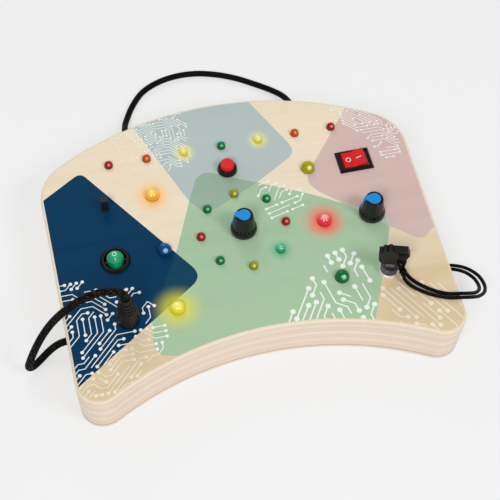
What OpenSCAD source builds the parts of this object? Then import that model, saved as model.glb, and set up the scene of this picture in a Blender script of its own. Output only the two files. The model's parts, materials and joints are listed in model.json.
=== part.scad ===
// Busy board: an arch-shaped plywood box with switches, knobs, lamps, a plug and a key lock.
// Millimetres, +Z up. The origin is under the middle of the board, on the surface it rests on.

/* [Board] */
// Width of the board half way along its depth
board_w = 220; // [214:1:236]
// Depth from the front corners to the middle of the back edge
board_d = 181.5; // [180:0.5:190]
// Overall height of the wooden box
board_h = 32; // [31:0.5:40]
// Radius of the curved front and back edges
arc_r = 190; // [180:1:220]
// Slant of the sides, in degrees, wider at the back
side_taper = 1; // [0:0.25:3]
// Radius of the two front corners
front_corner_r = 13; // [11:0.5:18]
// Radius of the two back corners
back_corner_r = 28; // [22:1:34]
// Rounding of the top edge
edge_r = 1.6; // [0.8:0.2:3]
// Thickness of the side walls
wall_t = 9; // [7:0.5:10]
// Wood left above the hollow
skin_t = 4; // [3:0.5:5]
// Thickness of the bottom panel
base_t = 4; // [3.5:0.25:5]

/* [Layout] */
// Distance of the outer columns of switches from the sides
column_in = 35; // [32:0.5:38]
// Place of the slide switch and the rectangular rocker, from the middle
upper_y = 31.2; // [28:0.2:33]
// Place of the round rocker and the right knob
middle_y = -7; // [-10:0.5:-4]
// Place of the socket and the lock
lower_y = -45.5; // [-48:0.5:-43]
// Distance of the row of small lamps from the middle of the back edge
lamp_row_in = 32.55; // [32:0.05:35]
// Spacing of the row of small lamps
lamp_row_pitch = 22.7; // [20:0.1:23]
// Radius of the ring of small lamps round the middle knob
lamp_ring_r = 24.9; // [22:0.1:26]
// Place of the middle knob and of the ring's centre
ring_y = -2.1; // [-5:0.1:-1]
// Distance of the large lamps from the middle
big_lamp_x = 46.8; // [43:0.2:50]
// Place of the middle pair of large lamps
big_lamp_y = -6.4; // [-9:0.1:-5]
// Spacing of the pairs of large lamps
big_lamp_pitch = 38; // [35:0.5:39]
// Distance of the push button from the middle of the back edge
button_in = 49.75; // [48.75:0.25:51.75]

/* [Lamps] */
// Diameter of a small lamp
lamp_d = 5; // [4:0.5:5.5]
// Height of a small lamp's dome above the board
lamp_proud = 3.6; // [3:0.2:5]
// Diameter of a large lamp
big_lamp_d = 8; // [7:0.5:9]
// Height of a large lamp's dome above the board
big_lamp_proud = 5; // [4.6:0.2:7]
// Thickness of a lamp's flange under the board
lamp_flange_t = 1.2; // [0.8:0.1:1.6]
// Distance between the two leads of a lamp
lead_pitch = 2.54; // [2:0.02:3]
// Thickness of a square lead
lead_t = 0.5; // [0.4:0.05:0.6]

/* [Knobs] */
// Diameter of a knob's skirt
knob_d = 15.2; // [14.6:0.2:18]
// Height of a knob's top above the board
knob_top_z = 15.5; // [14.5:0.5:18]
// Diameter of the fluted part at the top of the skirt
knob_grip_d = 13.2; // [12.6:0.2:14]
// Diameter of the fluted part at the top
knob_tip_d = 10.4; // [10:0.2:12]
// Number of flutes
knob_flutes = 18; // [12:1:22]
// Direction of the pointer, in degrees from the board's right
knob_pointer = 162; // [0:1:359]
// Width of the blue pointer stripe
stripe_w = 1.7; // [1.2:0.1:2.2]

/* [Potentiometers] */
// Diameter of the can
pot_d = 16.4; // [15:0.2:17]
// Depth of the can and its front plate under the board
pot_depth = 8; // [7:0.5:8.5]
// Diameter of the threaded neck
pot_neck_d = 7; // [6.8:0.1:7.4]
// Diameter of the shaft
shaft_d = 6; // [5:0.1:6]
// Size of the neck's nut across its flats
pot_nut_af = 9.4; // [9:0.1:9.6]

/* [Push button] */
// Diameter of the housing on the board
button_d = 11.8; // [11.4:0.2:14]
// Diameter of the housing's rim
button_rim_d = 10; // [9.8:0.2:11]
// Height of the housing's rim above the board
button_rim_z = 3.4; // [3:0.1:4.4]
// Diameter of the red plunger
plunger_d = 8.2; // [7.4:0.1:8.4]
// Height of the plunger's top above the board
plunger_z = 6.3; // [5.8:0.1:7.4]
// Travel of the plunger
plunger_travel = 1.8; // [1:0.1:1.9]
// Diameter of the threaded neck through the board
button_neck_d = 8.4; // [8:0.1:8.8]

/* [Rocker switches] */
// Length of the rectangular bezel
rect_l = 20.6; // [20.2:0.1:22]
// Width of the rectangular bezel
rect_w = 15; // [14.4:0.1:16]
// Height of both bezels above the board
bezel_h = 2; // [1.6:0.1:2.6]
// Width of the rectangular rocker
rect_paddle_w = 10.8; // [9.5:0.1:11]
// Half the length of the rectangular rocker
rect_paddle_l = 6.2; // [5.8:0.1:6.8]
// Half the angle through which a rocker tips
rocker_tip = 11; // [8:0.5:12]
// Diameter of the round bezel
round_d = 17; // [16.4:0.2:19]
// Diameter of the round rocker
round_paddle_d = 9.6; // [9:0.2:10]
// Depth of a rocker switch below the board's face
switch_depth = 13.4; // [12:0.2:14]

/* [Slide switch] */
// Width of the lever
lever_w = 4.2; // [3.4:0.1:4.6]
// Length of the lever along its travel
lever_l = 3.6; // [3:0.1:4]
// Height of the lever above the board
lever_z = 9.6; // [7:0.2:11]
// Travel of the lever
lever_travel = 4.6; // [3:0.1:5]

/* [Socket and plug] */
// Diameter of the plug where it meets the socket
plug_d = 11.8; // [11.4:0.1:12.6]
// Height of the plug and its strain relief above the board
plug_h = 25; // [25:1:25]
// Diameter of the strain relief at its top
relief_d = 6; // [5.4:0.1:6.6]
// Number of rings round the strain relief
relief_rings = 4; // [3:1:6]
// Diameter of the plug's metal pin
pin_d = 5.5; // [5:0.1:5.6]
// Diameter of the socket's threaded neck
socket_neck_d = 9.8; // [9.6:0.1:10.4]

/* [Lock and key] */
// Distance of the lock from the side
lock_in = 36.2; // [34:0.2:37]
// Diameter of the lock's flange
lock_flange_d = 11.2; // [11:0.2:13.6]
// Diameter of the lock's barrel
lock_d = 10.2; // [10:0.1:10.8]
// Height of the lock's barrel above the board
lock_z = 6.2; // [5:0.1:6.2]
// Diameter of the turning cylinder
cylinder_d = 7; // [6.6:0.1:7.4]
// Thickness of the plastic key head
key_t = 4.4; // [4:0.1:5]
// Direction of the key head at rest, in degrees from the board's right
key_yaw = -18; // [-18:1:-18]

/* [Battery box] */
// Diameter of a cell
cell_d = 10.5; // [10:0.1:10.5]
// Length of a cell with its button
cell_l = 44.5; // [43:0.5:46]
// Number of cells side by side
cells = 3; // [2:1:3]
// Wall of the battery box
box_wall = 1.2; // [1:0.1:1.6]
// Place of the battery box
battery_y = -14; // [-18:1:-10]

/* [Circuit board] */
// Thickness of the circuit board
pcb_t = 1.6; // [1.2:0.1:1.8]
// Distance of the circuit board below the hollow's ceiling
pcb_drop = 10; // [9.4:0.1:10.4]

/* [Screws] */
// Diameter of the bottom screws
screw_d = 3; // [2.5:0.1:3.4]
// Diameter of the small screws
small_screw_d = 2.4; // [2:0.1:2.5]

/* [Cords] */
// Diameter of the carrying loop
handle_cord_d = 4; // [3.4:0.1:4]
// Diameter of the plug's cable
cable_d = 4.4; // [4:0.1:4.4]
// Diameter of each of the key cord's two strands
key_cord_d = 2.2; // [1.8:0.1:2.2]
// Distance between the key cord's strands where they lie close
strand_pitch = 2.5; // [2.5:0.1:3]
// How far each strand moves out where the two part
strand_part = 0.5; // [0:0.1:0.6]
// Diameter of the knot that ties the cord to the key
hitch_d = 4.4; // [4:0.1:4.6]

/* [Clearances] */
// Radial clearance of a turning or sliding fit
fit = 0.05; // [0.03:0.01:0.08]
// Clearance of a fixed piece in its hole
slip = 0.15; // [0.1:0.05:0.2]
// Clearance between moving pieces
gap = 0.3; // [0.3:0.05:0.35]

/* [Hidden] */
$fn = 48;
eps = 0.01;

// Heights
top_z = board_h;
ceiling_z = board_h - skin_t;
pcb_z = ceiling_z - pcb_drop;
lead_end_z = pcb_z - pcb_t - 1.1;

// Outline of the board: half width, and the centres of its six arcs
half_w = board_w / 2;
slope = tan(side_taper);
front_c_y = -board_d / 2 + front_corner_r;
front_c_x = half_w - front_corner_r / cos(side_taper) + front_c_y * slope;
front_arc_y = front_c_y - sqrt(pow(arc_r + front_corner_r, 2) - pow(front_c_x, 2));
back_arc_y = board_d / 2 - arc_r;
back_in = half_w - back_corner_r / cos(side_taper);
quad_a = 1 + slope * slope;
quad_b = 2 * (back_in * slope - back_arc_y);
quad_c = back_in * back_in + back_arc_y * back_arc_y - pow(arc_r - back_corner_r, 2);
back_c_y = (-quad_b + sqrt(quad_b * quad_b - 4 * quad_a * quad_c)) / (2 * quad_a);
back_c_x = back_in + back_c_y * slope;
front_end = atan2(front_arc_y - front_c_y, -front_c_x) + 360;
front_span = atan2(front_c_y - front_arc_y, front_c_x);
back_span = atan2(back_c_y - back_arc_y, back_c_x);

// Places along the curved back wall and the straight side walls
function back_wall_y(x, inset) = back_arc_y + sqrt(pow(arc_r - inset, 2) - x * x);
function side_wall_x(y, inset) = half_w + y * slope - inset / cos(side_taper);

// Points of one arc, without its last point
function arc(c, r, from, to, n) =
  [for (i = [0:n - 1]) c + r * [cos(from + (to - from) * i / n), sin(from + (to - from) * i / n)]];

// The board's outline, drawn in by an inset
fillet_n = 12;
back_fillet_n = 14;
arc_n = 36;
function outline(inset) = concat(
  arc([front_c_x, front_c_y], front_corner_r - inset, front_end, 360 - side_taper, fillet_n),
  arc([back_c_x, back_c_y], back_corner_r - inset, -side_taper, back_span, back_fillet_n),
  arc([0, back_arc_y], arc_r - inset, back_span, 180 - back_span, arc_n),
  arc([-back_c_x, back_c_y], back_corner_r - inset, 180 - back_span, 180 + side_taper, back_fillet_n),
  arc([-front_c_x, front_c_y], front_corner_r - inset, 180 + side_taper, 540 - front_end, fillet_n),
  arc([0, front_arc_y], arc_r + inset, 180 - front_span, front_span, arc_n));

// Places of the pieces on the board
column_x = half_w - column_in;
lock_x = half_w - lock_in;
lamp_row_y = board_d / 2 - lamp_row_in;
middle_knob_at = [0, ring_y];
right_knob_at = [column_x, middle_y];
button_at = [0, board_d / 2 - button_in];
rect_at = [column_x + 0.4, upper_y];
round_at = [-column_x, middle_y];
slide_at = [-column_x, upper_y];
socket_at = [-column_x + 0.6, lower_y];
lock_at = [lock_x, lower_y];

// Lamp places
ring_lamps = [for (i = [0:7]) middle_knob_at + lamp_ring_r * [cos(90 + 45 * i), sin(90 + 45 * i)]];
function row_lamp(i) = [lamp_row_pitch * i, lamp_row_y];
red_lamps = [row_lamp(-3), row_lamp(3), ring_lamps[2], ring_lamps[6]];
orange_lamps = [row_lamp(-2), row_lamp(2)];
yellow_lamps = [row_lamp(-1), row_lamp(1)];
green_lamps = [row_lamp(0), ring_lamps[1], ring_lamps[3], ring_lamps[7]];
amber_lamps = [ring_lamps[0], ring_lamps[4]];
green_lit_lamps = [ring_lamps[5]];
small_lamps = concat(red_lamps, orange_lamps, yellow_lamps, green_lamps, amber_lamps, green_lit_lamps);
function big_lamp(side, row) = [side * big_lamp_x, big_lamp_y + row * big_lamp_pitch];
big_lamps = [for (side = [-1, 1]) for (row = [-1:1]) big_lamp(side, row)];

// Circuit board: drawn in from the hollow's curved walls, with wider ears under the row of lamps
pcb_half_w = big_lamp_x + 9.2;
pcb_ear_x = 3 * lamp_row_pitch + 5.9;
pcb_ear_y = lamp_row_y - 12.2;
pcb_back = back_wall_y(pcb_ear_x, wall_t) - 1.9;
pcb_front = front_arc_y + arc_r + wall_t + 3.8;
post_places = [for (s = [-1, 1]) each [[s * 36, lamp_row_y - 18.2], [s * 26, pcb_front + 7]]];

// Potentiometer and knob
knob_z = 0.8;
knob_rim_h = 1.8;
grip_z = knob_top_z * 0.32;
knob_recess = 1;
cap_r = knob_tip_d / 2 - 1.6;
cap_tip_r = knob_tip_d / 2 + 0.5;
cap_proud = 0.2;
stripe_deep = 1.2;
stripe_proud = 0.3;
stripe_low_z = grip_z + 0.6;
nut_t = 2;
neck_z = 3.2;
knob_hollow_r = pot_nut_af / 2 / cos(30) + gap;
knob_hollow_z = neck_z + gap;
grip_lean = atan((knob_grip_d - knob_tip_d) / 2 / (knob_top_z - grip_z));
pot_plate_t = 1.4;
flat_depth = 1.5;

// Push button
well_floor = plunger_z - 3.8 - plunger_travel - gap;
stem_d = 3;
chamber_d = 5.6;
chamber_top = -1.2;
button_depth = 13;
collar_t = 1;

// Rocker switches
rect_pivot = -1.2;
rect_valley = (bezel_h + 0.15 - rect_pivot) / cos(rocker_tip);
rect_end = rect_valley + rect_paddle_l * tan(rocker_tip);
rect_sweep_r = norm([rect_paddle_l, rect_end]);
round_pivot = -0.8;
round_valley = (bezel_h + 0.15 - round_pivot) / cos(rocker_tip);
round_end = round_valley + round_paddle_d / 2 * tan(rocker_tip);
round_sweep_r = norm([round_paddle_d / 2, round_end]);
well_depth = 6.4;
rocker_pin_d = 1.8;
rocker_pin_l = 0.5;
rect_body_l = rect_l - 1.4;
rect_body_w = rect_w - 1.8;
round_body_d = round_d - 2;
blade_w = 4.8;
blade_t = 0.8;
blade_l = 6;

// Slide switch
slide_floor = -skin_t - 6;
slide_block_l = 8;
slide_block_w = lever_w + 2.8;
slide_case_w = slide_block_w + 4;
slide_case_l = slide_block_l + lever_travel + 6;
slide_ear = 5;

// Socket and plug
socket_flange_t = 0.8;
socket_depth = 14;
pin_l = 10;
nut_h = 2.2;

// Lock and key
lock_depth = 17;
blade_thick = 1.4;
blade_high = 5;
head_z = lock_z + 3.3;
head_r = 7.3;
head_mid = [-0.1, 15.3];
hole_at = [4.2, 13.6];
hole_r = 1.5;

// Battery box
bay_l = cell_l + 8;
bay_w = cells * (cell_d + 0.6) + 0.4;
bay_top = base_t + cell_d - 1.2;
flange_w = 4.5;
door_t = 1.6;
door_margin = 3.4;
cell_z = door_t + 0.6 + cell_d / 2;

// Cords: holes through the walls, and routes
hole_z = 9;
cord_hole_y = -39;
handle_hole_x = 53;
handle_hole_z = 12;
cable_hole_r = 2.8;
key_hole_r = 3.2;
handle_hole_r = handle_cord_d / 2 + gap;
knot_l = 4.5;
handle_route = [[-53, 72.6, 12], [-53.1, 88, 11.9], [-53.1, 97, 9.6], [-52, 105.6, 5.8],
  [-49.6, 113, 3], [-44.4, 123, 2.2], [-36, 133, 2.2], [-25, 139, 2.2], [-12, 141.8, 2.2],
  [1, 141.3, 2.2], [14, 137.7, 2.2], [26.4, 131.8, 2.2], [37.4, 124.4, 2.2], [46.6, 117, 2.6],
  [51.8, 109.6, 4.8], [54, 102, 7.6], [54.2, 94.6, 10.2], [53.3, 88, 11.8], [53, 80, 12], [53, 72.6, 12]];
cable_route = [[-74.4, -45.5, 57], [-74.4, -45.5, 58.4], [-75.3, -45.5, 61.6],
  [-78, -45.4, 64.7], [-81.8, -45.2, 66.2],
  [-85.8, -45, 66.8], [-92, -44.7, 65], [-99.4, -44.5, 60.4], [-107, -44.6, 53.4], [-114.4, -45, 44.6],
  [-121.4, -46.6, 34.4], [-127.4, -49.2, 24], [-131.4, -51, 15], [-132.4, -50.8, 10.2],
  [-131.4, -49.4, 6.2], [-129.3, -47, 3.6], [-126.2, -44.2, 2.6], [-121.2, -40.8, 3.8],
  [-115.4, -39.2, 7.2], [-110.6, -39, 8.9], [-100.4, -39, 9]];
key_route = [[80.4, -53.4, 36.5], [81.5, -54.7, 34.8], [84, -57.6, 33.5], [89, -62.2, 33.2],
  [95.4, -66.6, 33.2], [102, -69.4, 33.2], [108, -70.5, 33.2], [114, -70.2, 30.6], [120.4, -67.8, 25],
  [126, -63, 19], [128.8, -56.6, 14], [128.6, -49.6, 10.8], [125, -43.6, 9.2], [119, -40, 8.8],
  [112, -39, 9], [100.4, -39, 9]];
hitch_route = [[5.7, -3.7, 9], [5, -4, 11], [4.2, -3.6, 12.7], [4.2, -2.2, 13.6], [4.2, 2.2, 13.6],
  [4.7, 3.6, 12.6], [6.6, 3.6, 11], [7.8, 1.4, 9.8], [6.8, -2.4, 8.8]];

// A path that runs beside another at a level distance
function unit(v) = v / norm(v);
function along(p, i) = unit(p[min(i + 1, len(p) - 1)] - p[max(i - 1, 0)]);
function parted(i) = strand_part * (exp(-pow((i - 2) / 1.6, 2)) + exp(-pow((i - 10) / 2.2, 2)));
function beside(p, side) = [for (i = [0:len(p) - 1])
  let (t = along(p, i), n = unit([-t[1], t[0], 0])) p[i] + side * (strand_pitch / 2 + parted(i)) * n];

// Normals carried along a path without twist
function turned(n, t) = unit(n - (n * t) * t);
function carried(p, seed) = [for (i = 0, n = turned(seed, along(p, 0)); i < len(p);
  i = i + 1, n = i < len(p) ? turned(n, along(p, i)) : n) n];

// A round tube along a path
module tube(p, r, sides = 8, seed = [0.1, 0.2, 1]) {
  normals = carried(p, seed);
  points = [for (i = [0:len(p) - 1]) for (k = [0:sides - 1])
    let (side = cross(along(p, i), normals[i]), a = 360 * (k + 0.5) / sides)
      p[i] + r * (cos(a) * normals[i] + sin(a) * side)];
  last = (len(p) - 1) * sides;
  polyhedron(points = points, faces = concat(
    [[for (k = [0:sides - 1]) k]],
    [[for (k = [sides - 1:-1:0]) last + k]],
    [for (i = [0:len(p) - 2]) for (k = [0:sides - 1])
      let (a = i * sides + k, b = i * sides + (k + 1) % sides) [a, a + sides, b]],
    [for (i = [0:len(p) - 2]) for (k = [0:sides - 1])
      let (a = i * sides + k, b = i * sides + (k + 1) % sides) [b, a + sides, b + sides]]));
}

// A solid through rings of the board's outline, each given as [height, inset]
back_arc_at = fillet_n + back_fillet_n;
front_arc_at = 2 * back_arc_at + arc_n;
function cap(n) = concat(
  [[for (k = [0:back_arc_at]) k], [for (k = [back_arc_at + arc_n:front_arc_at]) k]],
  [for (j = [0:arc_n - 1]) let (b = back_arc_at + j, f = front_arc_at + arc_n - j)
    [b, b + 1, f - 1, f % n]]);
module board_loft(rings) {
  rows = [for (ring = rings) [for (p = outline(ring[1])) [p[0], p[1], ring[0]]]];
  n = len(rows[0]);
  last = (len(rows) - 1) * n;
  polyhedron(points = [for (row = rows) for (p = row) p], faces = concat(
    cap(n),
    [for (f = cap(n)) [for (k = [len(f) - 1:-1:0]) last + f[k]]],
    [for (i = [0:len(rows) - 2]) for (k = [0:n - 1])
      [i * n + k, (i + 1) * n + k, (i + 1) * n + (k + 1) % n, i * n + (k + 1) % n]]));
}

// Small shared shapes
module at(p, z = 0) translate([p[0], p[1], z]) children();
module hole(r, from, to, n = 48) translate([0, 0, from - eps])
  cylinder(r = r, h = to - from + 2 * eps, $fn = n);
module drum(r, from, to) translate([0, 0, from]) cylinder(r = r, h = to - from);
module block(w, l, from, to) translate([-w / 2, -l / 2, from]) cube([w, l, to - from]);
module hex_nut(af, bore_r, from, to) difference() {
  translate([0, 0, from]) cylinder(r = af / 2 / cos(30), h = to - from, $fn = 6);
  hole(bore_r, from, to);
}

// Screw places round the bottom panel, in the middle of the wall
mid_wall = wall_t / 2;
bottom_screw_places = [
  [0, back_wall_y(0, mid_wall)],
  [0, front_arc_y + arc_r + mid_wall],
  [side_wall_x(0, mid_wall), 0],
  [-side_wall_x(0, mid_wall), 0],
  [front_c_x, front_c_y] + (front_corner_r - mid_wall) * [cos(45), -sin(45)],
  [-front_c_x, front_c_y] + (front_corner_r - mid_wall) * [-cos(45), -sin(45)],
  [back_c_x, back_c_y] + (back_corner_r - mid_wall) * [cos(40), sin(40)],
  [-back_c_x, back_c_y] + (back_corner_r - mid_wall) * [-cos(40), sin(40)]];
bottom_screw_l = 14;
head_sink = 0.3;

// Wooden box
module panel_holes() {
  for (p = small_lamps) at(p) hole(lamp_d / 2 + slip, ceiling_z, top_z, 24);
  for (p = big_lamps) at(p) hole(big_lamp_d / 2 + slip, ceiling_z, top_z);
  for (p = [middle_knob_at, right_knob_at]) at(p) hole(pot_neck_d / 2 + slip, ceiling_z, top_z);
  at(button_at) hole(button_neck_d / 2 + slip, ceiling_z, top_z);
  at(rect_at) block(rect_body_l + 2 * slip, rect_body_w + 2 * slip, ceiling_z - 1, top_z + 1);
  at(round_at) hole(round_body_d / 2 + slip, ceiling_z, top_z);
  at([slide_at[0], slide_at[1]])
    block(lever_w + 2 * gap, lever_l + lever_travel + 2 * gap, ceiling_z - 1, top_z + 1);
  at(socket_at) hole(socket_neck_d / 2 + slip, ceiling_z, top_z);
  at(lock_at) hole(lock_d / 2 + slip, ceiling_z, top_z);
}
module wall_hole(p, turn, r) translate(p) rotate([0, 0, turn]) rotate([0, 90, 0])
  translate([0, 0, -wall_t * 1.5]) cylinder(r = r, h = wall_t * 3);
module board_body() color([0.9, 0.83, 0.7]) difference() {
  board_loft(concat([[base_t, 0]],
    [for (a = [0:30:90]) [top_z - edge_r + edge_r * sin(a), edge_r * (1 - cos(a))]]));
  translate([0, 0, base_t - 1]) linear_extrude(ceiling_z - base_t + 1) polygon(outline(wall_t));
  panel_holes();
  for (p = bottom_screw_places) at(p) hole(screw_d / 2 + fit, base_t - 1, base_t + bottom_screw_l - 2.5, 24);
  for (p = post_places) at(p) hole(small_screw_d / 2 + fit, ceiling_z - 1, ceiling_z + 2.8, 16);
  for (y = slide_screw_ys) at([slide_at[0], y])
    hole(small_screw_d / 2 + fit, ceiling_z - 1, ceiling_z + 2.8, 16);
  wall_hole([side_wall_x(cord_hole_y, 0), cord_hole_y, hole_z], 0, key_hole_r);
  wall_hole([-side_wall_x(cord_hole_y, 0), cord_hole_y, hole_z], 0, cable_hole_r);
  for (s = [-1, 1])
    wall_hole([s * handle_hole_x, back_wall_y(handle_hole_x, 0), handle_hole_z], 90, handle_hole_r);
}
slide_screw_ys = [for (s = [-1, 1]) slide_at[1] + s * (slide_case_l + slide_ear) / 2];
door_l = bay_l + 2 * door_margin;
door_w = bay_w + 2 * door_margin;
door_tab = 9;
door_screw_at = [0, battery_y - door_w / 2 - door_tab / 2 + 0.5];
module door_plan(grow) translate([0, battery_y]) {
  square([door_l + 2 * grow, door_w + 2 * grow], center = true);
  translate([0, -door_w / 2 - door_tab / 2 + 1])
    square([2 * door_tab + 2 * grow, door_tab + 2 + 2 * grow], center = true);
}
module bottom_panel() color([0.88, 0.8, 0.66]) difference() {
  board_loft([[0, 0.5], [0.5, 0], [base_t, 0]]);
  at([0, battery_y]) block(bay_l, bay_w, -1, base_t + 1);
  translate([0, 0, -1]) linear_extrude(1 + door_t + 0.3) door_plan(0.3);
  at(door_screw_at) hole(small_screw_d / 2 + fit, 0, base_t + 1, 16);
  for (p = bottom_screw_places) at(p) {
    hole(screw_d / 2 + slip, -1, base_t + 1, 24);
    translate([0, 0, head_sink - slip])
      cylinder(r1 = screw_d + slip, r2 = screw_d / 2 + slip, h = screw_d / 2 + 0.1);
    hole(screw_d + slip, -1, head_sink - slip, 24);
  }
  for (p = flange_screw_places) at(p) hole(small_screw_d / 2 + fit, base_t - 2.6, base_t + 1, 16);
}
module countersunk_screw(r, l) difference() {
  union() {
    cylinder(r1 = 2 * r, r2 = r, h = r);
    drum(r, r - eps, l);
    translate([0, 0, l - eps]) cylinder(r1 = r, r2 = 0.2, h = r);
  }
  for (turn = [0, 90]) rotate(turn) block(2.2 * r, 0.3 * r, -1, 0.5 * r);
}
module bottom_screws() color("silver") for (p = bottom_screw_places)
  at(p, head_sink) countersunk_screw(screw_d / 2, bottom_screw_l - screw_d / 2);

// Battery box, its door, cells and contacts
flange_screw_places = [for (s = [-1, 1]) [s * (bay_l / 2 + flange_w + 0.2), battery_y]];
module battery_box() color([0.12, 0.12, 0.13]) difference() {
  union() {
    at([0, battery_y]) block(bay_l + 2 * box_wall, bay_w + 2 * box_wall, base_t, bay_top + box_wall);
    at([0, battery_y]) block(bay_l + 2 * flange_w, bay_w + 2 * flange_w, base_t, base_t + 1.2);
    for (p = flange_screw_places) at(p) drum(3.4, base_t, base_t + 1.2);
  }
  at([0, battery_y]) block(bay_l, bay_w, base_t - 1, bay_top);
  for (p = flange_screw_places) at(p) hole(small_screw_d / 2 + slip, base_t - 1, base_t + 3, 16);
}
module battery_door() color([0.14, 0.14, 0.15]) difference() {
  union() {
    translate([0, 0, 0.3]) linear_extrude(door_t) door_plan(0);
    for (i = [-2:2]) at([i * 3, battery_y + door_w / 2 - 6]) block(1, 6, 0.1, 0.3 + eps);
  }
  at(door_screw_at) hole(small_screw_d / 2 + slip, 0, 3, 16);
  at(door_screw_at) hole(small_screw_d + slip, 0, 0.9, 24);
}
module pan_screw(l) difference() {
  union() {
    drum(small_screw_d, 0, 0.55 * small_screw_d);
    drum(small_screw_d / 2, 0.55 * small_screw_d - eps, l);
  }
  for (turn = [0, 90]) rotate(turn) block(small_screw_d * 1.1, small_screw_d * 0.2, -1, 0.5);
}
module flat_screw(l) difference() {
  union() {
    drum(small_screw_d, 0, 0.5);
    drum(small_screw_d / 2, 0.5 - eps, l);
  }
  for (turn = [0, 90]) rotate(turn) block(small_screw_d * 1.1, small_screw_d * 0.2, -1, 0.3);
}
module door_screw() color("silver") at(door_screw_at, 0.4) flat_screw(base_t - 0.7);
module cell(turn) translate([0, 0, cell_z]) rotate([0, 90, turn]) rotate_extrude() polygon([
  [0, -cell_l / 2], [cell_d / 2 - 0.4, -cell_l / 2], [cell_d / 2, -cell_l / 2 + 0.4],
  [cell_d / 2, cell_l / 2 - 1.4], [cell_d / 2 - 0.5, cell_l / 2 - 0.9], [1.9, cell_l / 2 - 0.9],
  [1.9, cell_l / 2], [0, cell_l / 2]]);
function cell_y(i) = battery_y + (i - (cells - 1) / 2) * (cell_d + 0.6);
module batteries() color([0.2, 0.35, 0.25]) for (i = [0:cells - 1])
  translate([0, cell_y(i), 0]) cell(180 * (i % 2));
module battery_contacts() color("silver") for (i = [0:cells - 1]) for (s = [-1, 1])
  translate([0, cell_y(i), 0]) {
    translate([s * (bay_l / 2 - 0.3) - 0.25, -3.8, door_t + 1.6]) cube([0.5, 7.6, cell_d - 2]);
    translate([s * (bay_l / 2 - 0.54), 0, cell_z]) rotate([0, -s * 90, 0])
      cylinder(r1 = 3.2, r2 = 1.6, h = bay_l / 2 - cell_l / 2 - 0.64);
  }

// Circuit board on four posts, and its small screws
module circuit_board() color([0.1, 0.4, 0.22]) difference() {
  translate([0, 0, pcb_z - pcb_t]) linear_extrude(pcb_t) polygon([
    [-pcb_half_w, pcb_front], [pcb_half_w, pcb_front], [pcb_half_w, pcb_ear_y], [pcb_ear_x, pcb_ear_y],
    [pcb_ear_x, pcb_back], [-pcb_ear_x, pcb_back], [-pcb_ear_x, pcb_ear_y], [-pcb_half_w, pcb_ear_y]]);
  at(button_at) hole(button_neck_d / 2 + 1.6, pcb_z - pcb_t, pcb_z);
  for (p = post_places) at(p) hole(small_screw_d / 2 + slip, pcb_z - pcb_t, pcb_z, 16);
  for (p = concat(small_lamps, big_lamps)) for (s = [-1, 1])
    at(p + [s * lead_pitch / 2, 0]) hole(lead_t * 0.95, pcb_z - pcb_t, pcb_z, 16);
}
module board_posts() color([0.92, 0.92, 0.9]) for (p = post_places) at(p) difference() {
  drum(3, pcb_z, ceiling_z);
  hole(small_screw_d / 2 + slip, pcb_z, ceiling_z, 16);
}
module small_screws() color("silver") {
  for (p = post_places) at(p, pcb_z - pcb_t - 0.55 * small_screw_d)
    pan_screw(pcb_drop + pcb_t + 0.55 * small_screw_d + 2.4);
  for (y = slide_screw_ys) at([slide_at[0], y], ceiling_z - 1 - 0.55 * small_screw_d)
    pan_screw(1 + 0.55 * small_screw_d + 2.4);
  for (p = flange_screw_places) at(p, base_t + 1.2 + 0.55 * small_screw_d) mirror([0, 0, 1])
    pan_screw(1.2 + 0.55 * small_screw_d + 2.3);
}

// Lamps
module lamp(d, proud) translate([0, 0, ceiling_z]) rotate_extrude() polygon(concat(
  [[0, -lamp_flange_t], [d / 2 + 0.45, -lamp_flange_t], [d / 2 + 0.45, 0], [d / 2, 0]],
  [for (a = [0:7.5:90]) [d / 2 * cos(a), skin_t + proud - d / 2 + d / 2 * sin(a)]]));
module small_lamp_group(places, tint) color(tint, 0.8) for (p = places) at(p) lamp(lamp_d, lamp_proud);
module one_big_lamp(side, row, tint) color(tint, 0.8)
  at(big_lamp(side, row)) lamp(big_lamp_d, big_lamp_proud);
module lamps_red() small_lamp_group(red_lamps, [0.55, 0.03, 0.06]);
module lamps_orange() small_lamp_group(orange_lamps, [0.8, 0.3, 0.06]);
module lamps_yellow_lit() small_lamp_group(yellow_lamps, [0.98, 0.9, 0.25]);
module lamps_green() small_lamp_group(green_lamps, [0.02, 0.36, 0.17]);
module lamps_amber() small_lamp_group(amber_lamps, [0.7, 0.55, 0.1]);
module lamp_green_lit() small_lamp_group(green_lit_lamps, [0.2, 0.75, 0.5]);
module big_lamp_amber_lit() one_big_lamp(-1, 1, [0.98, 0.72, 0.2]);
module big_lamp_blue() one_big_lamp(-1, 0, [0.05, 0.2, 0.5]);
module big_lamp_yellow_lit() one_big_lamp(-1, -1, [0.96, 0.9, 0.1]);
module big_lamp_lime() one_big_lamp(1, 1, [0.65, 0.65, 0.08]);
module big_lamp_red_lit() one_big_lamp(1, 0, [0.9, 0.15, 0.18]);
module big_lamp_green() one_big_lamp(1, -1, [0.05, 0.42, 0.2]);
module lamp_leads() color("silver") {
  for (p = small_lamps) for (s = [-1, 1]) at(p + [s * lead_pitch / 2, 0])
    block(lead_t, lead_t, lead_end_z, ceiling_z - lamp_flange_t);
  for (p = big_lamps) for (s = [-1, 1]) at(p + [s * lead_pitch / 2, 0])
    block(lead_t, lead_t, lead_end_z, ceiling_z - lamp_flange_t);
}

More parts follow.
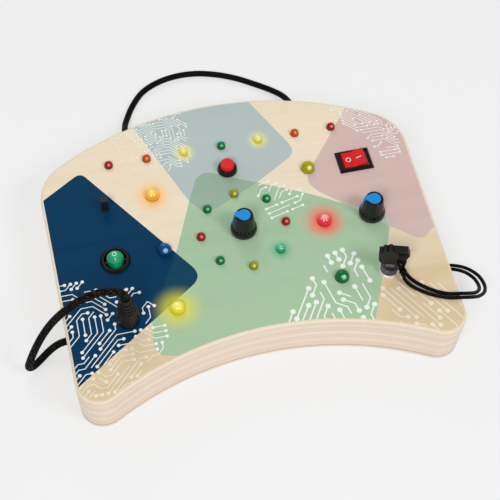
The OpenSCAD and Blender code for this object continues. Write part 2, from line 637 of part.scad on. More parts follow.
// Potentiometers: the shaft turns in the neck and carries the knob
module pot(p) color([0.6, 0.6, 0.58]) at(p, top_z) difference() {
  union() {
    drum(pot_d / 2, -skin_t - pot_depth, -skin_t - pot_plate_t + eps);
    block(pot_d - 1, pot_d - 1, -skin_t - pot_plate_t, -skin_t);
    drum(pot_neck_d / 2, -skin_t - eps, neck_z);
    for (i = [-1:1]) translate([i * 5 - 0.7, -pot_d / 2 - 5, -skin_t - pot_plate_t])
      cube([1.4, 6, 0.8]);
  }
  hole(shaft_d / 2 + fit, -skin_t - pot_depth + 1.2, neck_z + 1);
}
module pot_nut(p) color("silver") at(p, top_z) union() {
  hex_nut(pot_nut_af, pot_neck_d / 2 + fit, 0.4, 0.4 + nut_t);
  difference() {
    drum(pot_nut_af / 2, 0, 0.4 + eps);
    hole(pot_neck_d / 2 + fit, 0, 1);
  }
}
module pot_shaft(p) color("silver") at(p, top_z) rotate(knob_pointer) difference() {
  drum(shaft_d / 2, -skin_t - pot_depth + 1.5, knob_top_z - knob_recess - 2);
  translate([shaft_d / 2 - flat_depth, -shaft_d, neck_z + gap / 2]) cube([shaft_d, 2 * shaft_d, knob_top_z]);
}
function skirt(u) = [knob_grip_d / 2 + (knob_d - knob_grip_d) / 2 * (1 - pow(u, 2.2)),
  knob_z + knob_rim_h + (grip_z - knob_z - knob_rim_h) * u];
module knob_outline() polygon(concat(
  [[0, knob_z], [knob_d / 2 - 0.3, knob_z], [knob_d / 2, knob_z + 0.3]],
  [for (u = [0:0.1:1]) skirt(u)],
  [[knob_tip_d / 2 + 0.05, knob_top_z - 0.7], [knob_tip_d / 2 - 0.2, knob_top_z - 0.2],
   [knob_tip_d / 2 - 0.6, knob_top_z], [0, knob_top_z]]));
module drop_plan(grow, reach) {
  r = cap_r + grow;
  half = stripe_w / 2 + 0.05 + grow;
  circle(r = r);
  polygon([[r * cos(55), r * sin(55)], [cap_tip_r - 0.15, half], [reach, half],
    [reach, -half], [cap_tip_r - 0.15, -half], [r * cos(55), -r * sin(55)]]);
}
// The stripe that runs down from the cap's tip, seen from the side: out, in, low and high grow it
stripe_low_r = knob_grip_d / 2 + (knob_tip_d - knob_grip_d) / 2 * (stripe_low_z - grip_z) / (knob_top_z - grip_z);
function stripe_side(out, in, low, high) = [
  [stripe_low_r + out, stripe_low_z - low], [knob_tip_d / 2 + 0.05 + out, knob_top_z - 0.7],
  [knob_tip_d / 2 - 0.1 + out, knob_top_z - 0.2 + high],
  [knob_tip_d / 2 - stripe_deep - in, knob_top_z - 0.2 + high],
  [knob_tip_d / 2 - stripe_deep - in, knob_top_z - 0.7],
  [stripe_low_r - stripe_deep - in, stripe_low_z - low]];
module stripe(w, out, in, low, high) rotate([90, 0, 0]) translate([0, 0, -w / 2])
  linear_extrude(w) polygon(stripe_side(out, in, low, high));
module knob(p) color([0.06, 0.06, 0.06]) at(p, top_z) rotate(knob_pointer) difference() {
  rotate_extrude() knob_outline();
  hole(knob_hollow_r, knob_z - 1, knob_hollow_z);
  difference() {
    hole(shaft_d / 2 + fit, 0, knob_top_z - knob_recess - 1.9);
    translate([shaft_d / 2 - flat_depth + fit, -shaft_d, knob_hollow_z])
      cube([shaft_d, 2 * shaft_d, knob_top_z]);
  }
  translate([0, 0, knob_top_z - knob_recess]) linear_extrude(2) drop_plan(fit, knob_d / 2);
  stripe(stripe_w + 2 * fit, 2, fit, fit, 2);
  for (i = [1:knob_flutes - 1]) rotate(i * 360 / knob_flutes)
    translate([knob_grip_d / 2 + 0.2, 0, grip_z]) rotate([0, -grip_lean, 0])
      cylinder(r = 0.5, h = knob_top_z, $fn = 16);
}
module knob_cap(p) color([0.09, 0.55, 0.82]) at(p, top_z) rotate(knob_pointer) union() {
  translate([0, 0, knob_top_z - knob_recess]) linear_extrude(knob_recess + cap_proud) drop_plan(0, cap_tip_r);
  stripe(stripe_w, stripe_proud, 0, 0, 0);
}
module middle_pot() pot(middle_knob_at);
module middle_pot_nut() pot_nut(middle_knob_at);
module middle_shaft() pot_shaft(middle_knob_at);
module middle_knob() knob(middle_knob_at);
module middle_knob_cap() knob_cap(middle_knob_at);
module right_pot() pot(right_knob_at);
module right_pot_nut() pot_nut(right_knob_at);
module right_shaft() pot_shaft(right_knob_at);
module right_knob() knob(right_knob_at);
module right_knob_cap() knob_cap(right_knob_at);

// Push button with a sprung plunger
module button_housing() color([0.07, 0.07, 0.07]) at(button_at, top_z) difference() {
  union() {
    rotate_extrude() polygon([[0, 0], [button_d / 2, 0], [button_d / 2, 0.5],
      [button_rim_d / 2 + 0.25, button_rim_z - 0.3], [button_rim_d / 2 - 0.05, button_rim_z],
      [0, button_rim_z]]);
    drum(button_neck_d / 2, -button_depth, eps);
  }
  hole(plunger_d / 2 + gap, well_floor, button_rim_z + 1);
  hole(stem_d / 2 + fit, -button_depth - 1, button_rim_z);
  hole(chamber_d / 2, -button_depth + 1.5, chamber_top);
}
module button_nut() color("silver") at(button_at, top_z)
  hex_nut(button_neck_d + 3, button_neck_d / 2 + fit, -skin_t - nut_t, -skin_t);
collar_z = chamber_top - gap - collar_t;
module button_plunger() color([0.85, 0.07, 0.07]) at(button_at, top_z) {
  rotate_extrude() polygon([[0, plunger_z - 3.8], [plunger_d / 2, plunger_z - 3.8],
    [plunger_d / 2, plunger_z - 0.7], [plunger_d / 2 - 0.2, plunger_z - 0.2],
    [plunger_d / 2 - 0.7, plunger_z], [0, plunger_z]]);
  drum(stem_d / 2, -button_depth + plunger_travel - 0.5, plunger_z - 3.8 + eps);
  drum(chamber_d / 2 - gap, collar_z, collar_z + collar_t);
}
spring_turns = 6;
spring_wire = 0.4;
spring_r = stem_d / 2 + gap + spring_wire / 2;
spring_low = -button_depth + 1.5 + spring_wire / 2 + 0.02;
spring_high = collar_z - spring_wire / 2 - 0.02;
module button_spring() color("silver") at(button_at, top_z)
  tube([for (i = [0:spring_turns * 8]) [spring_r * cos(i * 45), spring_r * sin(i * 45),
    spring_low + (spring_high - spring_low) * i / (spring_turns * 8)]], spring_wire / 2, 6);

// Rocker switches: a paddle tips on its pin inside a housing
module bevelled_bezel(l, w, h) intersection() {
  rotate([90, 0, 0]) translate([0, 0, -w / 2]) linear_extrude(w) polygon([[-l / 2, 0], [l / 2, 0],
    [l / 2, 0.6], [l / 2 - 0.9, h], [-l / 2 + 0.9, h], [-l / 2, 0.6]]);
  rotate([90, 0, 90]) translate([0, 0, -l / 2]) linear_extrude(l) polygon([[-w / 2, 0], [w / 2, 0],
    [w / 2, 0.6], [w / 2 - 0.9, h], [-w / 2 + 0.9, h], [-w / 2, 0.6]]);
}
module paddle_profile(half_l, valley, sweep_r, foot) intersection() {
  circle(r = sweep_r);
  polygon([[-half_l - 3, valley + (half_l + 3) * tan(rocker_tip)], [0, valley],
    [half_l + 3, valley + (half_l + 3) * tan(rocker_tip)], [half_l + 3, -0.4], [2.6, -foot],
    [-2.6, -foot], [-half_l - 3, -0.4]]);
}
module rect_housing() color([0.08, 0.08, 0.08]) at(rect_at, top_z) difference() {
  union() {
    bevelled_bezel(rect_l, rect_w, bezel_h);
    block(rect_body_l, rect_body_w, -switch_depth, eps);
  }
  block(2 * (rect_sweep_r + gap), rect_paddle_w + 2 * gap, -well_depth, bezel_h + 1);
  translate([0, 0, rect_pivot]) rotate([90, 0, 0])
    translate([0, 0, -rect_paddle_w / 2 - gap - rocker_pin_l - 0.1])
      cylinder(r = rocker_pin_d / 2 + fit, h = rect_paddle_w + 2 * gap + 2 * rocker_pin_l + 0.2);
}
module rect_rocker() color([0.8, 0.08, 0.08]) at(rect_at, top_z + rect_pivot) {
  rotate([0, -rocker_tip, 0]) rotate([90, 0, 0]) translate([0, 0, -rect_paddle_w / 2])
    linear_extrude(rect_paddle_w) paddle_profile(rect_paddle_l, rect_valley, rect_sweep_r, 4);
  rotate([90, 0, 0]) translate([0, 0, -rect_paddle_w / 2 - gap - rocker_pin_l])
    cylinder(r = rocker_pin_d / 2, h = rect_paddle_w + 2 * gap + 2 * rocker_pin_l);
}
round_well_r = round_sweep_r + gap;
module round_housing() color([0.08, 0.08, 0.08]) at(round_at, top_z) difference() {
  union() {
    rotate_extrude() polygon([[0, 0], [round_d / 2, 0], [round_d / 2, 0.6],
      [round_d / 2 - 1, bezel_h], [0, bezel_h]]);
    drum(round_body_d / 2, -switch_depth, eps);
  }
  hole(round_well_r, -well_depth, bezel_h + 1);
  translate([0, 0, round_pivot]) rotate([0, 90, 0]) translate([0, 0, -round_well_r - rocker_pin_l - 0.1])
    cylinder(r = rocker_pin_d / 2 + fit, h = 2 * (round_well_r + rocker_pin_l + 0.1));
}
module round_rocker() color([0.1, 0.62, 0.4], 0.9) at(round_at, top_z + round_pivot) {
  intersection() {
    rotate([-rocker_tip, 0, 0]) rotate([90, 0, 90]) translate([0, 0, -round_paddle_d / 2])
      linear_extrude(round_paddle_d) paddle_profile(round_paddle_d / 2, round_valley, round_sweep_r + 0.2, 4);
    rotate([-rocker_tip, 0, 0]) drum(round_paddle_d / 2, -6, 6);
  }
  rotate([0, 90, 0]) translate([0, 0, -round_well_r - rocker_pin_l])
    cylinder(r = rocker_pin_d / 2, h = 2 * (round_well_r + rocker_pin_l));
}
module blade(x, y, turn) translate([x, y, -switch_depth - blade_l]) rotate(turn)
  difference() {
    block(blade_w, blade_t, 0, blade_l);
    translate([0, blade_t, 2]) rotate([90, 0, 0]) cylinder(r = 0.8, h = 2 * blade_t, $fn = 24);
  }
module switch_terminals() color([0.85, 0.8, 0.6]) {
  at(rect_at, top_z) for (x = [-5.5, 5.5]) blade(x, 0, 90);
  at(round_at, top_z) for (y = [-4.5, 4.5]) blade(0, y, 0);
}

// Slide switch under the board, its lever through a slot
module slide_case() color([0.55, 0.55, 0.56]) at(slide_at, top_z) difference() {
  union() {
    block(slide_case_w, slide_case_l, slide_floor, -skin_t);
    block(slide_case_w - 3, slide_case_l + 2 * slide_ear, -skin_t - 1, -skin_t);
  }
  block(slide_block_w + 2 * gap, slide_block_l + lever_travel + 2 * gap, slide_floor + 0.8, -skin_t - 0.6);
  block(lever_w + 2 * gap, lever_l + lever_travel + 2 * gap, -skin_t - 2, 0);
  for (s = [-1, 1]) at([0, s * (slide_case_l + slide_ear) / 2])
    hole(small_screw_d / 2 + slip, -skin_t - 2, 0, 16);
}
module slide_lever() color([0.08, 0.08, 0.09])
  at([slide_at[0], slide_at[1] - lever_travel / 2], top_z) {
    block(slide_block_w, slide_block_l, slide_floor + 0.8 + gap, -skin_t - 0.6 - gap);
    intersection() {
      block(lever_w, lever_l, -skin_t - 0.6 - gap - eps, lever_z);
      rotate([90, 0, 0]) translate([0, 0, -lever_l]) linear_extrude(2 * lever_l) polygon([
        [-lever_w / 2, -skin_t - 2], [lever_w / 2, -skin_t - 2], [lever_w / 2, lever_z - 0.8],
        [lever_w / 2 - 0.6, lever_z], [-lever_w / 2 + 0.6, lever_z], [-lever_w / 2, lever_z - 0.8]]);
    }
  }

// Socket in the board, and the plug that stands in it
module socket() color([0.1, 0.1, 0.1]) at(socket_at, top_z) difference() {
  union() {
    drum(plug_d / 2, 0, socket_flange_t);
    drum(socket_neck_d / 2, -socket_depth, eps);
  }
  hole(pin_d / 2 + 0.1, socket_flange_t - pin_l - 1, socket_flange_t + 1);
}
module socket_nut() color("silver") at(socket_at, top_z)
  hex_nut(socket_neck_d + 3.4, socket_neck_d / 2 + fit, -skin_t - nut_h, -skin_t);
relief_z = 14;
function bell(u) = [plug_d / 2 + 0.1 - (plug_d / 2 - relief_d / 2) * (1 - cos(90 * u)),
  socket_flange_t + 3 + (plug_h - socket_flange_t - 3) * u];
module plug() color([0.07, 0.07, 0.07]) at(socket_at, top_z) difference() {
  rotate_extrude() polygon(concat(
    [[0, socket_flange_t], [plug_d / 2 - 0.2, socket_flange_t], [plug_d / 2 + 0.1, socket_flange_t + 0.5]],
    [for (u = [0:0.05:0.95]) bell(u)], [[relief_d / 2, plug_h], [0, plug_h]]));
  hole(pin_d / 2 + fit, socket_flange_t - 1, socket_flange_t + 5);
  for (i = [0:relief_rings - 1]) let (z = relief_z + i * (plug_h - relief_z - 1) / relief_rings,
      u = (z - socket_flange_t - 3) / (plug_h - socket_flange_t - 3), r = bell(u)[0])
    translate([0, 0, z]) difference() {
      cylinder(r = r + 2, h = 0.9);
      translate([0, 0, -1]) cylinder(r = r - 0.55, h = 3);
    }
}
module plug_pin() color("silver") at(socket_at, top_z) rotate_extrude() polygon([
  [0, socket_flange_t - pin_l], [pin_d / 2 - 0.6, socket_flange_t - pin_l],
  [pin_d / 2, socket_flange_t - pin_l + 0.6], [pin_d / 2, socket_flange_t + 5], [0, socket_flange_t + 5]]);

// Lock in the board, its cylinder and its key
module lock_barrel() color([0.8, 0.8, 0.82]) at(lock_at, top_z) difference() {
  rotate_extrude() polygon([[0, -lock_depth], [lock_d / 2, -lock_depth], [lock_d / 2, 0],
    [lock_flange_d / 2, 0], [lock_flange_d / 2, 1], [lock_flange_d / 2 - 0.5, 1.5], [lock_d / 2, 1.6],
    [lock_d / 2, lock_z - 0.5], [lock_d / 2 - 0.5, lock_z], [0, lock_z]]);
  hole(cylinder_d / 2 + fit, -lock_depth + 1.5, lock_z + 1);
}
module lock_nut() color("silver") at(lock_at, top_z)
  hex_nut(lock_d + 3.4, lock_d / 2 + fit, -skin_t - nut_h, -skin_t);
module lock_cylinder() color([0.75, 0.72, 0.6]) at(lock_at, top_z) rotate(key_yaw) difference() {
  drum(cylinder_d / 2, -lock_depth + 1.8, lock_z - 0.2);
  block(blade_high + 0.2, blade_thick + 0.2, -lock_depth + 4, lock_z);
}
module key_blade() color([0.8, 0.78, 0.7]) at(lock_at, top_z) rotate(key_yaw)
  block(blade_high, blade_thick, -lock_depth + 4.4, head_z + 4.9);
wedge_t = key_t - 0.6;
module disc_plan() difference() {
  union() {
    translate(head_mid) circle(r = head_r);
    for (a = [102, 124, 146]) translate(head_mid + (head_r + 0.1) * [cos(a), sin(a)])
      circle(r = 1.45, $fn = 24);
  }
  translate([-2 * head_r, head_z - head_r]) square([4 * head_r, head_r]);
}
module upright(t) rotate([90, 0, 0]) translate([0, 0, -t / 2]) linear_extrude(t) children();
module key_head() color([0.09, 0.09, 0.09]) at(lock_at, top_z) rotate(key_yaw) difference() {
  union() {
    upright(key_t) disc_plan();
    upright(wedge_t) polygon([[0, 23.4], [7.6, 23.6], [9.3, 19.6], [8.2, 16.2], [5.8, 12],
      [4.4, head_z + 0.3], [0, head_z + 0.3]]);
  }
  upright(key_t + 2) translate(hole_at) circle(r = hole_r);
  block(blade_high + 0.1, blade_thick + 0.1, head_z - 1, head_z + 5);
  for (side = [-1, 1]) translate([0, side * (wedge_t / 2 + 0.5), 0]) upright(2) face_recess();
}
module face_recess() {
  polygon([[2, 22.5], [6.8, 22.6], [8, 19.8], [3, 19.8]]);
  translate([3, 18.2]) square([3.6, 0.7]);
}

// The cord's loop through the key head and its knot, which turn with the key
module key_hitch() color([0.05, 0.05, 0.05]) at(lock_at, top_z) rotate(key_yaw) {
  tube(hitch_route, key_cord_d / 2);
  rotate(-32) translate([6.8, 0, 8.6]) rotate([0, 139, 0]) rotate_extrude() polygon([
    [0, 0], [hitch_d / 2 - 1, 0], [hitch_d / 2 - 0.3, 0.4], [hitch_d / 2, 1.1], [hitch_d / 2, 3.7],
    [hitch_d / 2 - 0.3, 4.4], [hitch_d / 2 - 1, 4.8], [0, 4.8]]);
}
module key_cord_left() color([0.05, 0.05, 0.05]) tube(beside(key_route, 1), key_cord_d / 2);
module key_cord_right() color([0.05, 0.05, 0.05]) tube(beside(key_route, -1), key_cord_d / 2);
module plug_cable() color([0.05, 0.05, 0.05]) tube(cable_route, cable_d / 2, 12);
module handle_cord() color([0.05, 0.05, 0.05]) tube(handle_route, handle_cord_d / 2);

// Knots behind the walls
module knot(p, turn, r) translate(p) rotate([0, 0, turn]) rotate([0, 90, 0]) rotate_extrude() polygon([
  [0, 0], [r - 1, 0], [r, 1], [r, knot_l - 1], [r - 1, knot_l], [0, knot_l]]);
module cord_knots() color([0.05, 0.05, 0.05]) {
  knot([side_wall_x(cord_hole_y, wall_t) - 0.1, cord_hole_y, hole_z], 180, 4.2);
  knot([-side_wall_x(cord_hole_y, wall_t) + 0.1, cord_hole_y, hole_z], 0, 4.2);
  for (s = [-1, 1])
    knot([s * handle_hole_x, back_wall_y(handle_hole_x + 3.6, wall_t) - 0.1, handle_hole_z], -90, 3.6);
}

board_body();
bottom_panel();
bottom_screws();
battery_box();
battery_door();
door_screw();
batteries();
battery_contacts();
circuit_board();
board_posts();
small_screws();
lamp_leads();
lamps_red();
lamps_orange();
lamps_yellow_lit();
lamps_green();
lamps_amber();
lamp_green_lit();
big_lamp_amber_lit();
big_lamp_blue();
big_lamp_yellow_lit();
big_lamp_lime();
big_lamp_red_lit();
big_lamp_green();
middle_pot();
middle_pot_nut();
middle_shaft();
middle_knob();
middle_knob_cap();
right_pot();
right_pot_nut();
right_shaft();
right_knob();
right_knob_cap();
button_housing();
button_nut();
button_plunger();
button_spring();
rect_housing();
rect_rocker();
round_housing();
round_rocker();
switch_terminals();
slide_case();
slide_lever();
socket();
socket_nut();
plug();
plug_pin();
lock_barrel();
lock_nut();
lock_cylinder();
key_blade();
key_head();
key_hitch();
key_cord_left();
key_cord_right();
plug_cable();
handle_cord();
cord_knots();
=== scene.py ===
import json
import random
from math import acos, ceil, cos, exp, hypot, pi, radians, sin, tan

import bpy
from mathutils import Matrix, Vector
from mathutils.bvhtree import BVHTree
from mathutils.geometry import delaunay_2d_cdt


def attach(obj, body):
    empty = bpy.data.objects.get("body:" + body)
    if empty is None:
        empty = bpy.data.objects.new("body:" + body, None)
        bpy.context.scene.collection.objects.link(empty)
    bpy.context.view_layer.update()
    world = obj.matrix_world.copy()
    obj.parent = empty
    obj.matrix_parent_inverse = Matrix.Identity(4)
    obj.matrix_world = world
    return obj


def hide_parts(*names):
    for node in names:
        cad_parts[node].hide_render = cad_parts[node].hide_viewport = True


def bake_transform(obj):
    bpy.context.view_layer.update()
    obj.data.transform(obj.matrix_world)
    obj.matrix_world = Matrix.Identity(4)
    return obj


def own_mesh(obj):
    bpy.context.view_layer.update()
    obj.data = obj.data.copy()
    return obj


# Lengths are written in millimetres, as in the part's source, and made metres with MM.
MM = 0.001
TOP = 32.0                      # height of the board's top face

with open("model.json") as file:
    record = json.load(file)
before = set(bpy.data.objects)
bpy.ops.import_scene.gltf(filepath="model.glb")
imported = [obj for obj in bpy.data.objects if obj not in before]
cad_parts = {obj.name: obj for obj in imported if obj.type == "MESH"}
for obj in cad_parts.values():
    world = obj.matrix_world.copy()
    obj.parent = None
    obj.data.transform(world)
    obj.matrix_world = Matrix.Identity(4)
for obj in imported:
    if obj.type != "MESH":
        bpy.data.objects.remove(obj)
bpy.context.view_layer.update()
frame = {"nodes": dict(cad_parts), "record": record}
NODES = frame["nodes"]


# Camera

# Fitted to the corners and lamps in the photo.
AZIMUTH, ELEVATION, ROLL = radians(-15.479), radians(58.836), radians(2.711)
TARGET = Vector((5.623, 2.494, 0.0)) * MM
DISTANCE = 670.363 * MM
FOCAL_PX, IMAGE_PX, SENSOR = 1116.334, 500, 36.0
CLIP_NEAR, CLIP_FAR = 0.01, 20.0  # metres

back = Vector((sin(AZIMUTH) * cos(ELEVATION), -cos(AZIMUTH) * cos(ELEVATION), sin(ELEVATION)))
level_right = Vector((cos(AZIMUTH), sin(AZIMUTH), 0.0))
level_up = back.cross(level_right)
right = level_right * cos(ROLL) + level_up * sin(ROLL)
up = level_up * cos(ROLL) - level_right * sin(ROLL)
camera_data = bpy.data.cameras.new("camera")
camera_data.sensor_width = SENSOR
camera_data.lens = FOCAL_PX * SENSOR / IMAGE_PX
camera_data.clip_start, camera_data.clip_end = CLIP_NEAR, CLIP_FAR
camera = bpy.data.objects.new("camera", camera_data)
camera.matrix_world = Matrix.Translation(TARGET + back * DISTANCE) @ Matrix(
    (right, up, back)).transposed().to_4x4()
bpy.context.scene.collection.objects.link(camera)
bpy.context.scene.camera = camera


# Mesh helpers

def new_object(name, vertices, faces, body, materials, smooth=True, slot=None, face_materials=None):
    """A mesh piece from vertices in millimetres, riding on a CAD body."""
    mesh = bpy.data.meshes.new(name)
    mesh.from_pydata([Vector(v) * MM for v in vertices], [], faces)
    for material in materials:
        mesh.materials.append(material)
    if face_materials:
        mesh.polygons.foreach_set("material_index", face_materials)
    mesh.polygons.foreach_set("use_smooth", [smooth] * len(mesh.polygons))
    mesh.update()
    piece = bpy.data.objects.new(name, mesh)
    bpy.context.scene.collection.objects.link(piece)
    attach(piece, body)
    return piece


def curve_through(points, step):
    """Points about a step apart on one smooth curve through the given points."""
    pts = [Vector(p) for p in points]
    pts = [pts[0] * 2 - pts[1], *pts, pts[-1] * 2 - pts[-2]]
    out = []
    for a, b, c, d in zip(pts, pts[1:], pts[2:], pts[3:]):
        t1 = (b - a).length ** 0.5
        t2 = t1 + (c - b).length ** 0.5
        t3 = t2 + (d - c).length ** 0.5
        count = max(1, round((c - b).length / step))
        for i in range(count):
            t = t1 + (t2 - t1) * i / count
            ab = a.lerp(b, t / t1)
            bc = b.lerp(c, (t - t1) / (t2 - t1))
            cd = c.lerp(d, (t - t2) / (t3 - t2))
            abc = ab.lerp(bc, t / t2)
            bcd = bc.lerp(cd, (t - t1) / (t3 - t1))
            out.append(abc.lerp(bcd, (t - t1) / (t2 - t1)))
    out.append(pts[-2])
    return out


TIP_SHARE, TIP_REACH = 0.62, 0.12   # a tube's rounded tip: width and length as shares of the radius
BRAID_MAP = 0.1                 # the braid map's run along a cord for each millimetre


def braided_tube(name, line, radius, body, material, carriers, pitch, depth, sides, slot="cord"):
    """A closed tube along a line, its surface raised in the diamonds of a braid.
    carriers is the number of strands each way round, pitch the length of one diamond."""
    vertices, faces, uvs = [], [], []
    side = Vector((0, 0, 1))
    travelled = 0.0
    tangent = (line[1] - line[0]).normalized()
    side -= tangent * side.dot(tangent)
    side = side.normalized() if side.length > 0.1 else tangent.orthogonal().normalized()
    for i, centre in enumerate(line):
        if i:
            travelled += (centre - line[i - 1]).length
        ahead, behind = line[min(i + 1, len(line) - 1)], line[max(i - 1, 0)]
        turned = (ahead - behind).normalized()
        side = tangent.rotation_difference(turned) @ side
        side = (side - turned * side.dot(turned)).normalized()
        tangent = turned
        other = tangent.cross(side)
        for k in range(sides):
            angle = 2 * pi * k / sides
            weave = cos(carriers * angle + 2 * pi * travelled / pitch) * cos(
                carriers * angle - 2 * pi * travelled / pitch)
            reach = radius - depth * (0.5 - 0.5 * weave)
            vertices.append(centre + (side * cos(angle) + other * sin(angle)) * reach)
            uvs.append((k / sides, travelled))
    rings = len(line)
    for i in range(rings - 1):
        for k in range(sides):
            a, b = i * sides + k, i * sides + (k + 1) % sides
            faces.append((a, b, b + sides, a + sides))
    for ring, outward, flip in ((0, line[0] - line[1], True), (rings - 1, line[-1] - line[-2], False)):
        outward = outward.normalized()
        first = len(vertices)
        for k in range(sides):
            a, b = ring * sides + k, ring * sides + (k + 1) % sides
            c, d = first + k, first + (k + 1) % sides
            vertices.append(line[ring].lerp(vertices[a], TIP_SHARE) + outward * radius * TIP_REACH)
            uvs.append(uvs[a])
            faces.append((a, c, d, b) if flip else (a, b, d, c))
        cap = list(range(first, first + sides))
        faces.append(cap[::-1] if flip else cap)
    piece = new_object(name, vertices, faces, body, [material], slot=slot)
    layer = piece.data.uv_layers.new(name="braid")
    for polygon in piece.data.polygons:
        us = [uvs[v][0] for v in polygon.vertices]
        across = max(us) - min(us) > 0.5
        for loop, v, u in zip(polygon.loop_indices, polygon.vertices, us):
            layer.data[loop].uv = (u + 1.0 if across and u < 0.5 else u, uvs[v][1] * BRAID_MAP)
    return piece


# Node helpers

NOISE_LOW, NOISE_HIGH = 0.3, 0.7    # most of what a noise node gives lies between these
SPECULAR = "Specular IOR Level"


def srgb(r, g, b):
    """A colour written as it shows on a screen, 0 to 255, as the numbers a shader takes."""
    return tuple((c / 255 / 12.92) if c <= 10.3 else ((c / 255 + 0.055) / 1.055) ** 2.4
                 for c in (r, g, b)) + (1.0,)


class Graph:
    """Short calls to build one node tree."""

    def __init__(self, tree):
        self.tree = tree

    def node(self, kind, inputs=None, **settings):
        made = self.tree.nodes.new(kind)
        for key, value in settings.items():
            setattr(made, key, value)
        for key, value in (inputs or {}).items():
            if isinstance(value, bpy.types.NodeSocket):
                self.tree.links.new(value, made.inputs[key])
            else:
                made.inputs[key].default_value = value
        return made

    def math(self, operation, *values, clamp=False):
        return self.node("ShaderNodeMath", dict(enumerate(values)), operation=operation,
                         use_clamp=clamp).outputs[0]

    def measure(self, operation, a, b):
        """A number worked out from two vectors."""
        return self.node("ShaderNodeVectorMath", {0: a, 1: b}, operation=operation).outputs["Value"]

    def place(self):
        return self.node("ShaderNodeTexCoord").outputs["Object"]

    def facing(self):
        return self.node("ShaderNodeNewGeometry").outputs["Normal"]

    def along(self, axis, vector=None):
        """X, Y or Z of a vector, or of the object coordinates."""
        return self.node("ShaderNodeSeparateXYZ", {0: vector or self.place()}).outputs[axis]

    def noise(self, scale, detail=3.0, rough=0.5, at=None, distortion=0.0):
        return self.node("ShaderNodeTexNoise", {"Vector": at or self.place(), "Scale": scale,
                                                "Detail": detail, "Roughness": rough,
                                                "Distortion": distortion}).outputs["Fac"]

    def streaked(self, scale, detail, rough=0.5, distortion=0.0):
        """A noise stretched by axis, so it shows as streaks."""
        stretched = self.node("ShaderNodeMapping", {"Vector": self.place(), "Scale": scale}).outputs[0]
        return self.noise(1.0, detail, rough, at=stretched, distortion=distortion)

    def span(self, value, low, high, to_low=0.0, to_high=1.0, smooth=False):
        return self.node("ShaderNodeMapRange", {"Value": value, "From Min": low, "From Max": high,
                                                "To Min": to_low, "To Max": to_high},
                         interpolation_type="SMOOTHSTEP" if smooth else "LINEAR").outputs[0]

    def drift(self, scale, detail, low, high):
        """A noise that wanders between low and high."""
        return self.span(self.noise(scale, detail), NOISE_LOW, NOISE_HIGH, low, high)

    def mix(self, factor, a, b):
        """Two colours mixed. A mix node takes colours at 6 and 7, and plain numbers at 2 and 3."""
        return self.node("ShaderNodeMix", {0: factor, 6: a, 7: b}, data_type="RGBA").outputs[2]

    def ramp(self, factor, *stops):
        made = self.node("ShaderNodeValToRGB", {"Fac": factor})
        elements = made.color_ramp.elements
        while len(elements) < len(stops):
            elements.new(0.5)
        for element, (position, colour) in zip(elements, stops):
            element.position, element.color = position, colour
        return made.outputs["Color"]

    def bump(self, height, strength, distance):
        return self.node("ShaderNodeBump", {"Height": height, "Strength": strength,
                                            "Distance": distance * MM}).outputs[0]


def blank_material(name):
    """A material with no nodes yet, and its graph."""
    material = bpy.data.materials.new(name)
    material.use_nodes = True
    material.node_tree.nodes.clear()
    return material, Graph(material.node_tree)


def new_material(name, build, **settings):
    """A material whose shader's settings are numbers or sockets; build(graph) returns the sockets."""
    material, graph = blank_material(name)
    shader = graph.node("ShaderNodeBsdfPrincipled", {**settings, **build(graph)})
    graph.node("ShaderNodeOutputMaterial", {"Surface": shader.outputs[0]})
    return material


def shade(colour, factor):
    """A colour made lighter or darker, still a colour that a surface can have."""
    return tuple(min(1.0, c * factor) for c in colour[:3]) + (1.0,)


MOTTLE = 90.0                   # scale of the noise that a plastic's colour drifts with


def moulded(name, colour, rough=0.42, spread=0.05, grain=2600.0, relief=0.012, **settings):
    """Moulded plastic: a colour that drifts a little, uneven gloss and a fine grain."""
    def build(g):
        return {"Base Color": g.ramp(g.noise(MOTTLE, 4.0), (NOISE_LOW, shade(colour, 1 - spread)),
                                     (NOISE_HIGH, shade(colour, 1 + spread))),
                "Roughness": g.drift(MOTTLE * 3, 3.0, rough - 0.06, rough + 0.06),
                "Normal": g.bump(g.noise(grain, 2.0), 0.5, relief)}
    return new_material(name, build, **settings)


METAL_SPREAD, SMUDGE = 0.08, 140.0
FINISH_LINES = (300.0, 5000.0, 300.0)   # fine lines across a metal piece's depth


def metal(name, colour, rough):
    """Plated or bare metal with fine lines from its finishing."""
    def build(g):
        smudge = g.noise(SMUDGE, 3.0)
        return {"Base Color": g.ramp(smudge, (NOISE_LOW, shade(colour, 1 - METAL_SPREAD)),
                                     (NOISE_HIGH, shade(colour, 1 + METAL_SPREAD))),
                "Roughness": g.span(smudge, NOISE_LOW, NOISE_HIGH, rough - 0.05, rough + 0.07),
                "Normal": g.bump(g.streaked(FINISH_LINES, 3.0), 0.4, 0.004)}
    return new_material(name, build, Metallic=1.0)


# Lamps: places and light

ROW_Y, ROW_PITCH = 58.2, 22.7
RING_X, RING_Y, RING_R = 0.0, -2.1, 24.9
BIG_X, BIG_Y, BIG_PITCH = 46.8, -6.4, 38.0


def ring_place(k):
    """The place in plan of the ring's lamp number k, of eight."""
    return RING_X + RING_R * cos(radians(45 * k)), RING_Y + RING_R * sin(radians(45 * k))


LIT_IN_RING = 7
